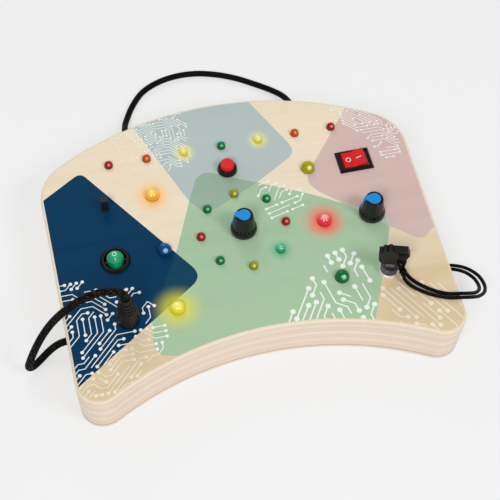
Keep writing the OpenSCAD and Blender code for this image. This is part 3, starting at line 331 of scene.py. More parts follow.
# Each lit lamp's place, and its glow's reach on the board, colour and strength.
GLOWS = [
    ((-ROW_PITCH, ROW_Y), 8.5, srgb(236, 230, 120), 0.7),
    ((ROW_PITCH, ROW_Y), 8.5, srgb(236, 230, 120), 0.7),
    (ring_place(LIT_IN_RING), 9.0, srgb(60, 172, 120), 0.7),
    ((-BIG_X, BIG_Y + BIG_PITCH), 14.0, srgb(246, 184, 92), 0.85),
    ((BIG_X, BIG_Y), 16.0, srgb(238, 88, 80), 0.95),
    ((-BIG_X, BIG_Y - BIG_PITCH), 17.0, srgb(214, 210, 44), 0.85),
]
GLOW_CORE, GLOW_LIFT = 2.0, 1.5     # radius at full strength, height of its middle over the top
GLOW_FALL = 1.2                     # how fast it fades towards its reach
GLOW_STRENGTH = 0.1                 # light that the lit surface adds itself


def glow_group():
    """A node group that tints a surface's colour with the light of the lit lamps beside it."""
    tree = bpy.data.node_groups.new("lamp_glow", "ShaderNodeTree")
    for name, way in (("Color", "INPUT"), ("Color", "OUTPUT"), ("Light", "OUTPUT")):
        tree.interface.new_socket(name, in_out=way, socket_type="NodeSocketColor")
    g = Graph(tree)
    start = g.node("NodeGroupInput")
    end = g.node("NodeGroupOutput")
    place = g.place()
    colour, light = start.outputs[0], (0.0, 0.0, 0.0, 1.0)
    for (x, y), reach, tint, strength in GLOWS:
        away = g.measure("DISTANCE", place, (x * MM, y * MM, (TOP + GLOW_LIFT) * MM))
        near = g.span(away, GLOW_CORE * MM, reach * MM, 1.0, 0.0, smooth=True)
        near = g.math("MULTIPLY", g.math("POWER", near, GLOW_FALL), strength)
        colour = g.mix(near, colour, tint)
        light = g.mix(near, light, tint)
    tree.links.new(colour, end.inputs[0])
    tree.links.new(light, end.inputs[1])
    return tree


GLOW = glow_group()


def glowing(g, colour):
    made = g.node("ShaderNodeGroup", {0: colour}, node_tree=GLOW)
    return {"Base Color": made.outputs[0], "Emission Color": made.outputs[1]}


# Materials

PLY, PANEL = 4.1, 3.0           # height of one visible ply and of the bottom panel
PLY_WAVER = 0.5                 # how far a ply's line strays up and down
TOP_PLY = 1.2, 1.9              # depth at which the pale top ply begins to fade and has faded
FLAT_FROM, FLAT_TO = 0.93, 0.99     # upward part of the normal where edge grain turns to face grain
WARM_RUN = 0.085                # metres from the board's middle forwards over which the veneer gets warmer


def veneer(g):
    """Birch face grain along the board's width: fine streaks, broad figure and pores."""
    streaks = g.streaked((26.0, 620.0, 160.0), 5.0, 0.6, distortion=0.35)
    figure = g.streaked((7.0, 58.0, 40.0), 4.0, 0.55, distortion=1.1)
    pores = g.streaked((150.0, 2600.0, 900.0), 2.0, 0.7)
    return streaks, figure, pores


def veneer_relief(g, streaks, pores):
    return g.math("ADD", g.math("MULTIPLY", pores, 0.5), g.math("MULTIPLY", streaks, 0.5))


def plywood_build(g):
    streaks, figure, pores = veneer(g)
    pale = g.ramp(figure, (0.30, srgb(234, 217, 187)), (0.48, srgb(238, 223, 196)), (0.70, srgb(241, 228, 203)))
    deep = g.ramp(figure, (0.30, srgb(214, 189, 150)), (0.50, srgb(219, 197, 160)), (0.72, srgb(225, 204, 169)))
    forward = g.math("SUBTRACT", g.drift(14.0, 2.0, -0.02, 0.02), g.along("Y"))
    face = g.mix(g.span(forward, 0.0, WARM_RUN, smooth=True), pale, deep)
    face = g.mix(g.span(streaks, 0.38, 0.75, 0.0, 0.22), face, srgb(222, 199, 162))
    face = g.mix(g.span(pores, 0.64, 0.82, 0.0, 0.2), face, srgb(204, 176, 138))

    # The edge shows the plies: pale, with softly darker end-grain ones and thin glue lines.
    height = g.along("Z")
    waver = g.drift(18.0, 3.0, -PLY_WAVER * MM, PLY_WAVER * MM)
    layer = g.math("DIVIDE", g.math("ADD", height, waver), PLY * MM)
    index = g.math("FLOOR", layer)
    within = g.math("FRACT", layer)
    tone = g.node("ShaderNodeTexWhiteNoise", {"W": index}, noise_dimensions="1D").outputs["Value"]
    crossing = g.math("MODULO", index, 2.0)
    lengthwise = g.streaked((60.0, 60.0, 1500.0), 4.0, 0.6, distortion=0.3)
    dots = g.noise(1700.0, 2.0, 0.6)
    side_grain = g.mix(g.span(lengthwise, 0.35, 0.7), srgb(247, 233, 215), srgb(241, 224, 204))
    end_grain = g.mix(g.span(dots, 0.4, 0.75), srgb(240, 221, 200), srgb(229, 205, 178))
    edge = g.mix(crossing, side_grain, end_grain)
    edge = g.mix(g.math("MULTIPLY", tone, 0.6), edge, srgb(239, 222, 202))
    fade = g.span(g.noise(22.0, 2.0), 0.38, 0.62, 0.0, 0.9)
    seam = g.math("MULTIPLY", g.span(g.math("ABSOLUTE", g.math("SUBTRACT", within, 0.5)), 0.45, 0.5), fade)
    edge = g.mix(seam, edge, srgb(196, 166, 134))
    under_top = g.span(height, (TOP - TOP_PLY[1]) * MM, (TOP - TOP_PLY[0]) * MM)
    edge = g.mix(under_top, edge, srgb(238, 222, 200))
    # The joint between the block and the bottom panel shows as a thin brown line.
    joint = g.span(g.math("ABSOLUTE", g.math("SUBTRACT", height, PANEL * MM)), 0.2 * MM, 0.6 * MM, 0.9, 0.0)
    edge = g.mix(joint, edge, srgb(176, 138, 98))

    flat = g.span(g.math("ABSOLUTE", g.along("Z", g.facing())), FLAT_FROM, FLAT_TO)
    ply_relief = g.math("SUBTRACT", g.math("MULTIPLY", dots, 0.6), seam)
    relief = g.node("ShaderNodeMix", {0: flat, 2: ply_relief, 3: veneer_relief(g, streaks, pores)},
                    data_type="FLOAT").outputs[0]
    return {**glowing(g, g.mix(flat, edge, face)),
            "Roughness": g.drift(55.0, 3.0, 0.52, 0.64),
            "Normal": g.bump(relief, 0.3, 0.02)}


PLYWOOD = new_material("plywood", plywood_build, **{"Emission Strength": GLOW_STRENGTH, SPECULAR: 0.35})


def ink(name, colour, rough=0.42, show=0.06, grain=srgb(214, 190, 152), pore=srgb(150, 126, 96),
        gloss=0.3):
    """Print on the veneer, whose grain shows faintly through it."""
    def build(g):
        streaks, figure, pores = veneer(g)
        tone = g.ramp(figure, (0.32, shade(colour, 0.86)), (0.5, colour), (0.72, shade(colour, 1.06)))
        tone = g.mix(show * 6, colour, tone)
        tone = g.mix(g.span(streaks, 0.4, 0.75, 0.0, show), tone, grain)
        tone = g.mix(g.span(pores, 0.66, 0.84, 0.0, show * 1.6), tone, pore)
        return {**glowing(g, tone),
                "Roughness": g.drift(70.0, 3.0, rough - 0.05, rough + 0.06),
                "Normal": g.bump(veneer_relief(g, streaks, pores), 0.25, 0.02)}
    return new_material(name, build, **{"Emission Strength": GLOW_STRENGTH, SPECULAR: gloss})


INKS = {
    "navy": ink("print_navy", srgb(1, 55, 89), 0.52, 0.10, srgb(8, 62, 96), srgb(2, 44, 76), 0.08),
    "grey": ink("print_blue_grey", srgb(177, 192, 191)),
    "green": ink("print_green", srgb(164, 196, 160)),
    "pink": ink("print_pink", srgb(212, 184, 178)),
    "green_grey": ink("print_green_on_grey", srgb(146, 175, 153)),
    "green_pink": ink("print_green_on_pink", srgb(190, 206, 186)),
    "green_navy": ink("print_green_on_navy", srgb(10, 64, 90), 0.52, 0.10, srgb(22, 74, 98),
                      srgb(6, 50, 74), 0.1),
    "white": ink("print_white", srgb(238, 242, 238), 0.45, 0.05),
    "white_wood": ink("print_white_on_wood", srgb(240, 227, 206), 0.45, 0.08),
}

DULL, GLOSSY = {SPECULAR: 0.25}, {SPECULAR: 0.4}
BLACK_SPREAD = 0.14
BLACK = moulded("black_plastic", srgb(15, 15, 16), rough=0.3, spread=BLACK_SPREAD, **DULL)
BLACK_MATT = moulded("black_matt_plastic", srgb(18, 18, 18), rough=0.45, spread=BLACK_SPREAD, grain=3600.0,
                     relief=0.02, **DULL)
BLACK_GLOSS = moulded("black_gloss_plastic", srgb(10, 10, 11), rough=0.22, spread=BLACK_SPREAD, **GLOSSY)
LEVER = moulded("lever_plastic", srgb(30, 30, 33), rough=0.4, spread=BLACK_SPREAD, **DULL)
BLUE = moulded("blue_plastic", srgb(22, 138, 214), rough=0.38, **DULL)
RED = moulded("red_plastic", srgb(222, 30, 36), rough=0.34, **DULL)
RED_SWITCH = moulded("red_switch_plastic", srgb(214, 22, 28), rough=0.3, **DULL)

# The round rocker's middle, half its width, and how far out its axle pin starts; the pin's ends are painted
# near-black as shade.
GREEN_X, GREEN_HALF, PIN_FROM = -75.0, 4.6, 4.72


def green_switch_build(g):
    """Clear green plastic with painted shade: darker towards its sides, and the ends of its axle painted
    near-black as shade where they show at its sides.
    """
    side = g.math("ABSOLUTE", g.math("SUBTRACT", g.along("X"), GREEN_X * MM))
    # Painted shade: the green darkens from the middle out towards the sides.
    outward = g.math("ADD", g.span(side, 0.0, GREEN_HALF * MM), g.drift(160.0, 3.0, -0.15, 0.15))
    body = g.ramp(outward, (0.1, srgb(34, 172, 116)), (0.9, srgb(10, 132, 84)))
    # Painted shade: the axle's ends are made near-black.
    pin_end_shade = g.span(side, PIN_FROM * MM, (PIN_FROM + 0.1) * MM)
    return {"Base Color": g.mix(pin_end_shade, body, srgb(12, 12, 12)),
            "Roughness": g.drift(300.0, 2.0, 0.16, 0.26),
            "Normal": g.bump(g.noise(1800.0, 2.0), 0.3, 0.006)}


GREEN_SWITCH = new_material("green_switch_plastic", green_switch_build, **GLOSSY)
WHITE = moulded("white_plastic", srgb(232, 232, 228), rough=0.4)
SLEEVE = moulded("cell_sleeve", srgb(70, 74, 80), rough=0.32)
CIRCUIT = moulded("circuit", srgb(28, 96, 58), rough=0.36, grain=900.0, relief=0.02)


FLANGE_TOP = 1.5, 2.1           # heights over the board between which the flange ends and the barrel's painted reflection begins


def lock_chrome_build(g):
    """Satin chrome on the flange; up the barrel a painted darker reflection of the key's shade."""
    up_barrel = g.span(g.along("Z"), (TOP + FLANGE_TOP[0]) * MM, (TOP + FLANGE_TOP[1]) * MM)
    # Painted reflection: darker up the barrel, as the key's shade mirrored.
    painted_reflection = g.math("ADD", up_barrel, g.drift(SMUDGE, 3.0, -0.12, 0.12), clamp=True)
    return {"Base Color": g.mix(painted_reflection, srgb(246, 246, 248), srgb(84, 84, 88)),
            "Roughness": g.drift(200.0, 2.0, 0.26, 0.36),
            "Normal": g.bump(g.streaked(FINISH_LINES, 3.0), 0.4, 0.004)}


LOCK_CHROME = new_material("lock_chrome", lock_chrome_build, Metallic=0.7)
CHROME = metal("chrome", srgb(216, 217, 220), rough=0.13)
STEEL = metal("steel", srgb(186, 186, 184), rough=0.27)
BRASS = metal("brass", srgb(206, 172, 96), rough=0.25)
MARK = moulded("mark_white", srgb(240, 240, 238), rough=0.45)


# Ways that a dome faces where painted light brightens it, as if the light in it leaves there, and where a
# painted highlight sits, as if the light gathers to a bright spot.
PAINTED_LIGHT_FACING, PAINTED_HIGHLIGHT_FACING = (0.25, 0.75, -0.3), (0.06, -0.63, 0.77)
CLEAR = {"IOR": 1.45, "Coat IOR": 1.5}


def lens(name, colour, deep, painted_highlight):
    """An unlit lamp: clear dark plastic, with painted light brightening the side where light would leave it,
    painted shade on the other side, and a painted highlight.
    """
    def build(g):
        painted_light_side = g.span(g.measure("DOT_PRODUCT", g.facing(), PAINTED_LIGHT_FACING), -0.4, 0.8)
        # Painted light and shade: the deep colour on the side facing away, the full colour where light would
        # leave.
        body = g.mix(g.math("ADD", painted_light_side, g.drift(420.0, 3.0, -0.12, 0.12)), deep, colour)
        # Painted highlight: a bright spot of the highlight colour.
        painted_highlight_mask = g.span(g.measure("DOT_PRODUCT", g.facing(), PAINTED_HIGHLIGHT_FACING), 0.9, 0.985, 0.0, 0.8)
        return {"Base Color": g.mix(painted_highlight_mask, body, painted_highlight),
                "Roughness": g.drift(500.0, 2.0, 0.08, 0.14),
                "Normal": g.bump(g.noise(900.0, 2.0), 0.1, 0.002)}
    return new_material(name, build, **{SPECULAR: 0.1, "Coat Weight": 0.42, "Coat Roughness": 0.03, **CLEAR})


SMALL_DOME, BIG_DOME = 4.0, 5.6     # heights of the two lamps' crowns over the board
LIT_STRENGTH = 0.6


def lit_lens(name, heart, colour, rim, dome):
    """A lit lamp: pale at the crown, full colour down its side."""
    def build(g):
        up_dome = g.span(g.along("Z"), (TOP + 0.2) * MM, (TOP + dome) * MM)
        light = g.ramp(g.math("ADD", up_dome, g.drift(380.0, 3.0, -0.08, 0.08)),
                       (0.05, rim), (0.66, colour), (0.96, heart))
        return {"Base Color": g.mix(0.6, light, (0.0, 0.0, 0.0, 1.0)), "Emission Color": light,
                "Roughness": g.drift(500.0, 2.0, 0.1, 0.18),
                "Normal": g.bump(g.noise(1500.0, 2.0), 0.2, 0.004)}
    return new_material(name, build, **{"Emission Strength": LIT_STRENGTH, "Coat Weight": 0.8,
                                        "Coat Roughness": 0.06, **GLOSSY, **CLEAR})


# Each unlit lamp: its colour, the deep colour of its painted shaded side, and its painted highlight.
LENSES = {
    "lamps_red": lens("lens_red", srgb(222, 10, 20), srgb(150, 2, 8), srgb(250, 140, 134)),
    "lamps_orange": lens("lens_orange", srgb(240, 114, 20), srgb(184, 66, 6), srgb(250, 164, 96)),
    "lamps_green": lens("lens_green", srgb(0, 170, 84), srgb(0, 104, 50), srgb(120, 214, 160)),
    "lamps_amber": lens("lens_amber", srgb(206, 190, 44), srgb(150, 136, 16), srgb(236, 228, 150)),
    "big_lamp_blue": lens("lens_blue", srgb(24, 112, 184), srgb(2, 60, 118), srgb(150, 214, 250)),
    "big_lamp_lime": lens("lens_lime", srgb(218, 210, 16), srgb(158, 152, 2), srgb(250, 246, 150)),
    "big_lamp_green": lens("lens_big_green", srgb(0, 152, 78), srgb(0, 98, 50), srgb(150, 232, 190)),
    "lamps_yellow_lit": lit_lens("lens_yellow_lit", srgb(248, 240, 160), srgb(232, 218, 96),
                                 srgb(190, 170, 40), SMALL_DOME),
    "lamp_green_lit": lit_lens("lens_green_lit", srgb(110, 220, 176), srgb(14, 160, 104),
                               srgb(6, 112, 70), SMALL_DOME),
    "big_lamp_amber_lit": lit_lens("lens_amber_lit", srgb(255, 228, 128), srgb(244, 182, 46),
                                   srgb(212, 126, 12), BIG_DOME),
    "big_lamp_red_lit": lit_lens("lens_red_lit", srgb(255, 190, 194), srgb(232, 38, 60),
                                 srgb(190, 12, 34), BIG_DOME),
    "big_lamp_yellow_lit": lit_lens("lens_big_yellow_lit", srgb(250, 244, 164), srgb(236, 226, 34),
                                    srgb(192, 176, 6), BIG_DOME),
}


def braid(name, base, fleck, share, carriers, turns, rough=0.55, relief=0.08):
    """Woven sleeve over the modelled diamonds: single threads each way and a few pale flecks.
    The braid map runs 0 to 1 round the cord and BRAID_MAP for each millimetre along it."""
    def build(g):
        braid_map = g.node("ShaderNodeUVMap", uv_map="braid").outputs[0]
        round_cord, along_cord = g.along("X", braid_map), g.along("Y", braid_map)
        waves = []
        for way in (1.0, -1.0):
            phase = g.math("ADD", g.math("MULTIPLY", round_cord, 2 * pi * carriers * 3),
                           g.math("MULTIPLY", along_cord, way * 2 * pi * turns))
            waves.append(g.math("SINE", phase))
        threads = g.math("MAXIMUM", *waves)
        spots = g.noise(900.0, 2.0, 0.6)
        lift = g.math("MULTIPLY", g.span(spots, 0.60 - share, 0.70 - share), g.span(threads, 0.3, 1.0))
        return {"Base Color": g.mix(g.math("MULTIPLY", lift, 0.8), base, fleck),
                "Roughness": g.drift(260.0, 3.0, rough - 0.07, rough + 0.07),
                "Normal": g.bump(threads, 0.6, relief)}
    return new_material(name, build, **{SPECULAR: 0.08})


CABLE = braid("cable_braid", srgb(5, 5, 6), srgb(96, 86, 72), 0.05, 6, 32)
CORD = braid("cord_braid", srgb(4, 4, 5), srgb(40, 40, 42), 0.0, 6, 36, rough=0.42, relief=0.05)
KEY_CORD = braid("key_cord_braid", srgb(4, 4, 5), srgb(56, 56, 58), 0.0, 4, 50, rough=0.36, relief=0.04)


# Cords

HANDLE_ROUTE = [
    (-53, 72.6, 12), (-53.1, 88, 11.9), (-53.1, 97, 9.6), (-52, 105.6, 5.8), (-49.6, 113, 3),
    (-44.4, 123, 2.2), (-36, 133, 2.2), (-25, 139, 2.2), (-12, 141.8, 2.2), (1, 141.3, 2.2),
    (14, 137.7, 2.2), (26.4, 131.8, 2.2), (37.4, 124.4, 2.2), (46.6, 117, 2.6), (51.8, 109.6, 4.8),
    (54, 102, 7.6), (54.2, 94.6, 10.2), (53.3, 88, 11.8), (53, 80, 12), (53, 72.6, 12)]
CABLE_ROUTE = [
    (-74.4, -45.5, 57), (-74.4, -45.5, 58.4), (-75.3, -45.5, 61.6), (-78, -45.4, 64.7), (-81.8, -45.2, 66.2),
    (-85.8, -45, 66.8), (-92, -44.7, 65), (-99.4, -44.5, 60.4), (-107, -44.6, 53.4), (-114.4, -45, 44.6),
    (-121.4, -46.6, 34.4), (-127.4, -49.2, 24), (-131.4, -51, 15), (-132.4, -50.8, 10.2), (-131.4, -49.4, 6.2),
    (-129.3, -47, 3.6), (-126.2, -44.2, 2.6), (-121.2, -40.8, 3.8), (-115.4, -39.2, 7.2), (-110.6, -39, 8.9),
    (-100.4, -39, 9)]
KEY_ROUTE = [
    (80.4, -53.4, 36.5), (81.5, -54.7, 34.8), (84, -57.6, 33.5), (89, -62.2, 33.2), (95.4, -66.6, 33.2),
    (102, -69.4, 33.2), (108, -70.5, 33.2), (114, -70.2, 30.6), (120.4, -67.8, 25), (126, -63, 19),
    (128.8, -56.6, 14), (128.6, -49.6, 10.8), (125, -43.6, 9.2), (119, -40, 8.8), (112, -39, 9),
    (100.4, -39, 9)]
HANDLE_D, CABLE_D, KEY_CORD_D = 4.0, 4.4, 2.2
# A braid's form: strands each way round, length and depth of one diamond, sides of the tube.
HANDLE_FORM, CABLE_FORM = (6, 2.2, 0.18, 40), (6, 2.6, 0.26, 48)
KEY_FORM, KNOT_FORM = (4, 1.9, 0.14, 28), (4, 1.9, 0.12, 24)

# Half the strands' distance, how much more they part, and where: points of the route, each with its reach.
HALF_APART, MORE_APART = 1.25, 0.5
PARTINGS = ((2, 1.6), (10, 2.2))


def strand(way):
    """One strand of the key cord; the two lie side by side and part near the key and in the loop."""
    out = []
    last = len(KEY_ROUTE) - 1
    for i, p in enumerate(KEY_ROUTE):
        ahead, behind = KEY_ROUTE[min(i + 1, last)], KEY_ROUTE[max(i - 1, 0)]
        tx, ty = ahead[0] - behind[0], ahead[1] - behind[1]
        size = hypot(tx, ty)
        apart = HALF_APART + MORE_APART * sum(exp(-((i - middle) / over) ** 2) for middle, over in PARTINGS)
        out.append((p[0] - way * apart * ty / size, p[1] + way * apart * tx / size, p[2]))
    return out


def cord_piece(name, node, route, diameter, length, material, step, form,
               blend=None):
    """A free cord along its route; length, measured along the line that it makes, is not used."""
    line = curve_through(route, step)
    piece = braided_tube(name, line, diameter / 2, "board", material, *form)
    if blend:
        piece.parent = None
        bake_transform(piece)
    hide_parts(node)
    tuple(c * MM for c in route[0])


# The loop through the key head and its knot turn with the key.
KEY_YAW, LOCK = radians(-18), (73.8, -45.5)
HITCH_ROUTE = [(5.7, -3.7, 9), (5, -4, 11), (4.2, -3.6, 12.7), (4.2, -2.2, 13.6), (4.2, 2.2, 13.6),
               (4.7, 3.6, 12.6), (6.6, 3.6, 11), (7.8, 1.4, 9.8), (6.8, -2.4, 8.8)]


def key_frame(s, n, h):
    """A place given along the key head, across it and over the board."""
    return Vector((LOCK[0] + s * cos(KEY_YAW) - n * sin(KEY_YAW),
                   LOCK[1] + s * sin(KEY_YAW) + n * cos(KEY_YAW), TOP + h))


hitch_line = curve_through([key_frame(*p) for p in HITCH_ROUTE], 0.2)
hitch = braided_tube("key_cord_loop", hitch_line, KEY_CORD_D / 2, "key", KEY_CORD, *KEY_FORM)
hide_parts("key_hitch")

# The knot under the key head: a few turns of cord round the place where the two strands meet.
KNOT_START, KNOT_END = key_frame(5.9, -3.6, 8.7), key_frame(8.2, -5.1, 5.4)
KNOT_R, KNOT_CORD_R, KNOT_TURNS, KNOT_STEPS = 1.3, 0.92, 2.4, 28
KNOT_NARROW, KNOT_TAPERS = 0.45, 6      # width at its ends, and one over the share in which they widen


def knot_line():
    axis = (KNOT_END - KNOT_START).normalized()
    side = axis.orthogonal().normalized()
    other = axis.cross(side)
    steps = ceil(KNOT_TURNS * KNOT_STEPS)
    out = []
    for i in range(steps + 1):
        t = i / steps
        angle = 2 * pi * KNOT_TURNS * t
        tuck = min(1.0, KNOT_TAPERS * t, KNOT_TAPERS * (1 - t))
        reach = KNOT_R * (KNOT_NARROW + (1 - KNOT_NARROW) * sin(tuck * pi / 2))
        out.append(KNOT_START.lerp(KNOT_END, t) + (side * cos(angle) + other * sin(angle)) * reach)
    return out


knot = braided_tube("key_cord_knot", knot_line(), KNOT_CORD_R, "key", KEY_CORD, *KNOT_FORM)
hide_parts("key_hitch")

cord_piece("back_loop", "handle_cord", HANDLE_ROUTE, HANDLE_D, 206.2, CORD, 0.36, HANDLE_FORM)
cord_piece("plug_lead", "plug_cable", CABLE_ROUTE, CABLE_D, 135.3, CABLE, 0.3, CABLE_FORM)
# Each strand starts inside the knot, which turns with the key, and the whole strand lies still.
STRAND_START = [(79.3, -50.6, 40.1), (79.9, -52.1, 38.2)]
FOLLOW_START, FOLLOW_END = (80.0, -52.0, 38.4), (95.4, -66.6, 33.2)
for name, way, length in (("left", 1, 108.3), ("right", -1, 119.7)):
    cord_piece("key_strand_" + name, "key_cord_" + name, STRAND_START + strand(way), KEY_CORD_D, length,
               KEY_CORD, 0.24, KEY_FORM,
               blend=("key", "board", [c * MM for c in FOLLOW_START], [c * MM for c in FOLLOW_END]))


# Materials on the CAD nodes

BY_SLOT = {"plywood": PLYWOOD, "black_plastic": BLACK, "blue_plastic": BLUE, "red_plastic": RED,
           "green_plastic": GREEN_SWITCH, "steel": STEEL, "chrome": CHROME, "brass": BRASS,
           "circuit": CIRCUIT, "white_plastic": WHITE, "cell_sleeve": SLEEVE, "cord": CORD}
BY_NODE = {**LENSES, "rect_rocker": RED_SWITCH, "plug": BLACK_MATT, "key_head": BLACK_MATT,
           "slide_lever": LEVER, "middle_knob": BLACK_GLOSS, "right_knob": BLACK_GLOSS,
           "lock_barrel": LOCK_CHROME, "lock_cylinder": STEEL}
for part in frame["record"]["subparts"]:
    materials = NODES[part["node"]].data.materials
    materials.clear()
    materials.append(BY_NODE.get(part["node"]) or BY_SLOT[part["material_slot"]])


# Return spring of the push button, made as one fixed coil

BUTTON, BUTTON_TRAVEL = (0.0, 41.0), 1.8
SPRING_R, SPRING_WIRE, SPRING_TURNS, TURN_STEPS = 2.0, 0.4, 6, 24
SPRING_LOW, SPRING_HIGH, SPRING_FLOOR = 20.72, 29.28, 20.52     # the coil's ends and its seat
PLAIN_WIRE = (0, 1.0, 0.0, 10)  # a braid's form with no strands


def spring_line():
    steps = SPRING_TURNS * TURN_STEPS
    out = []
    for i in range(steps + 1):
        turn = 2 * pi * i / TURN_STEPS
        out.append(Vector((BUTTON[0] + SPRING_R * cos(turn), BUTTON[1] + SPRING_R * sin(turn),
                           SPRING_LOW + (SPRING_HIGH - SPRING_LOW) * i / steps)))
    return out


spring = braided_tube("button_coil", spring_line(), SPRING_WIRE / 2, "board", STEEL, *PLAIN_WIRE, slot="steel")
spring.parent = None
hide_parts("button_spring")
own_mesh(spring)


# Print on the top face

FACE_SLACK = 0.004              # how far under the top a vertex may lie and still be on its face
LEAST_CORNERS = 6               # a loop with fewer is no outline


def top_loops():
    """The outlines of the board's flat top face, the outer one first, in millimetres."""
    mesh = NODES["board_body"].data
    uses = {}
    for polygon in mesh.polygons:
        if all(mesh.vertices[v].co.z > (TOP - FACE_SLACK) * MM for v in polygon.vertices):
            for edge in polygon.edge_keys:
                uses[edge] = uses.get(edge, 0) + 1
    beside = {}
    for edge, times in uses.items():
        if times == 1:
            a, b = ((round(mesh.vertices[v].co.x / MM, 3), round(mesh.vertices[v].co.y / MM, 3))
                    for v in edge)
            beside.setdefault(a, []).append(b)
            beside.setdefault(b, []).append(a)
    loops, seen = [], set()
    for start in beside:
        loop, onward = [], [] if start in seen else [start]
        while onward:
            loop.append(onward[0])
            seen.add(onward[0])
            onward = [p for p in beside[onward[0]] if p not in seen]
        if len(loop) >= LEAST_CORNERS:
            loops.append(loop)
    return sorted(loops, key=lambda loop: min(p[0] for p in loop))


SIDE_SHARE = 0.48               # the most of a side that one rounded corner takes
STRAIGHT = 1.56                 # half angle from which a corner counts as straight
LEAST_CUT, ARC_STEPS = 0.05, 8


def rounded(corners, radius):
    """A polygon with its corners rounded, each no more than its sides allow.
    A corner's third number is a radius of its own."""
    out = []
    count = len(corners)
    for i, corner in enumerate(corners):
        c = Vector(corner[:2])
        r = corner[2] if len(corner) > 2 else radius
        a, b = Vector(corners[i - 1][:2]) - c, Vector(corners[(i + 1) % count][:2]) - c
        half = acos(max(-1.0, min(1.0, a.normalized().dot(b.normalized())))) / 2
        cut = min(r / tan(half), a.length * SIDE_SHARE, b.length * SIDE_SHARE) if half < STRAIGHT else 0
        if cut < LEAST_CUT:
            out.append(tuple(c))
            continue
        p, q = c + a.normalized() * cut, c + b.normalized() * cut
        for k in range(ARC_STEPS + 1):
            t = k / ARC_STEPS
            out.append(tuple(p * (1 - t) ** 2 + c * 2 * t * (1 - t) + q * t ** 2))
    return out


ZONES = {
    "navy": rounded([(-121.2, 34.1), (-85.3, 56.8, 5), (-28.8, -27.0, 9), (-120.6, -88.3), (-135, -40)], 4),
    "grey": rounded([(-54, 96), (18.8, 98.7), (43.5, 45.0, 9), (14.6, 28.0), (-10.9, 16.0), (-20.1, 14.4, 7),
                     (-26.6, 23.8)], 4),
    "green": rounded([(-24.7, 27.7), (-19.4, 38.9), (-13.9, 41.8), (-9.4, 40.4), (11.3, 30.1), (43.9, 13.6),
                      (58.7, 4.6), (85.8, -10.5, 8), (76.6, -32.8), (61.7, -65.2), (50, -90), (-34, -79),
                      (-47.9, -73.5), (-61.8, -70), (-63.8, -63.5), (-61.9, -49), (-45.2, -16.9),
                      (-39.9, -7.3)], 6),
    "pink": rounded([(92, 84.4), (46.2, 28.4), (44.4, 21.5), (49.1, 14.2), (57.9, 6.2), (83, -17.6),
                     (95.5, -28), (99.8, -29.6), (119, -14.5), (130, 60)], 6),
}


def inside(point, polygon):
    x, y = point
    odd = False
    for (ax, ay), (bx, by) in zip(polygon, polygon[1:] + polygon[:1]):
        if (ay > y) != (by > y) and x < ax + (y - ay) * (bx - ax) / (by - ay):
            odd = not odd
    return odd


def disc(centre, radius, sides=16):
    return [(centre[0] + radius * cos(2 * pi * k / sides), centre[1] + radius * sin(2 * pi * k / sides))
            for k in range(sides)]


LEAST_BEND = 1e-6               # two steps with a smaller cross product lie in one line


def thick(line, width):
    """A bent line of even width, as one polygon."""
    pts = [Vector(line[0])]
    for a, b, c in zip(line, line[1:], line[2:]):
        if abs((b[0] - a[0]) * (c[1] - b[1]) - (b[1] - a[1]) * (c[0] - b[0])) > LEAST_BEND:
            pts.append(Vector(b))
    pts.append(Vector(line[-1]))
    left_side, right_side = [], []
    for i, p in enumerate(pts):
        before = (p - pts[i - 1]).normalized() if i else None
        after = (pts[i + 1] - p).normalized() if i < len(pts) - 1 else None
        along = ((before or after) + (after or before)).normalized()
        across = Vector((-along.y, along.x))
        stretch = 1 / max(0.5, along.dot(after or before))
        left_side.append(tuple(p + across * width / 2 * stretch))
        right_side.append(tuple(p - across * width / 2 * stretch))
    return left_side + right_side[::-1]


COMPASS = [(1, 0), (1, 1), (0, 1), (-1, 1), (-1, 0), (-1, -1), (0, -1), (1, -1)]
GRID_REACH = 60                 # grid steps to each side of an area's middle


def tracks(area, pitch, turn, seed, steps, favoured, width, pad, keep_off=(), block=3, shortest=2, bare=0.2,
           gap=0.0):
    """Generic circuit tracks on a turned grid, as polygons of thick lines and round pads. They never cross.
    Each takes a number of steps in the range given, and turns towards a heading that its block of the
    grid picks among the favoured ones. gap is the share of places left empty, bare that of ends with no pad."""
    rng = random.Random(seed)
    c, s = cos(radians(turn)), sin(radians(turn))
    cx = sum(p[0] for p in area) / len(area)
    cy = sum(p[1] for p in area) / len(area)

    def at(node):
        x, y = node[0] * pitch, node[1] * pitch
        return (cx + x * c - y * s, cy + x * s + y * c)

    free = []
    for i in range(-GRID_REACH, GRID_REACH + 1):
        for j in range(-GRID_REACH, GRID_REACH + 1):
            p = at((i, j))
            if inside(p, area) and all(hypot(p[0] - x, p[1] - y) > r + pad for x, y, r in keep_off):
                free.append((i, j))
    open_nodes = set(free)
    crossed, field = set(), {}
    shapes = []
    for start in sorted(free, key=lambda n: (n[0] + n[1], n[0])):
        if start not in open_nodes or (gap and rng.random() < gap):
            continue
        walk, heading = [start], None
        goal = rng.randint(*steps)
        while len(walk) <= goal:
            here = walk[-1]
            key = (here[0] // block, here[1] // block)
            if key not in field:
                field[key] = rng.choice(favoured)
            wanted = field[key]
            if heading is None:
                heading = wanted
            off = (wanted - heading + 4) % 8 - 4
            heading = (heading + max(-1, min(1, off))) % 8
            for way in (0, rng.choice((-1, 1))):
                dx, dy = COMPASS[(heading + way) % 8]
                there = (here[0] + dx, here[1] + dy)
                middle = (2 * here[0] + dx, 2 * here[1] + dy)
                if there in open_nodes and there not in walk and not (dx and dy and middle in crossed):
                    heading = (heading + way) % 8
                    walk.append(there)
                    break
            else:
                break
        if len(walk) <= shortest:
            continue
        crossed.update((a[0] + b[0], a[1] + b[1]) for a, b in zip(walk, walk[1:]))
        open_nodes.difference_update(walk)
        line = [at(n) for n in walk]
        shapes.append(thick(line, width))
        for end in (line[0], line[-1]):
            if rng.random() < 1.0 - bare:
                shapes.append(disc(end, pad))
    return shapes


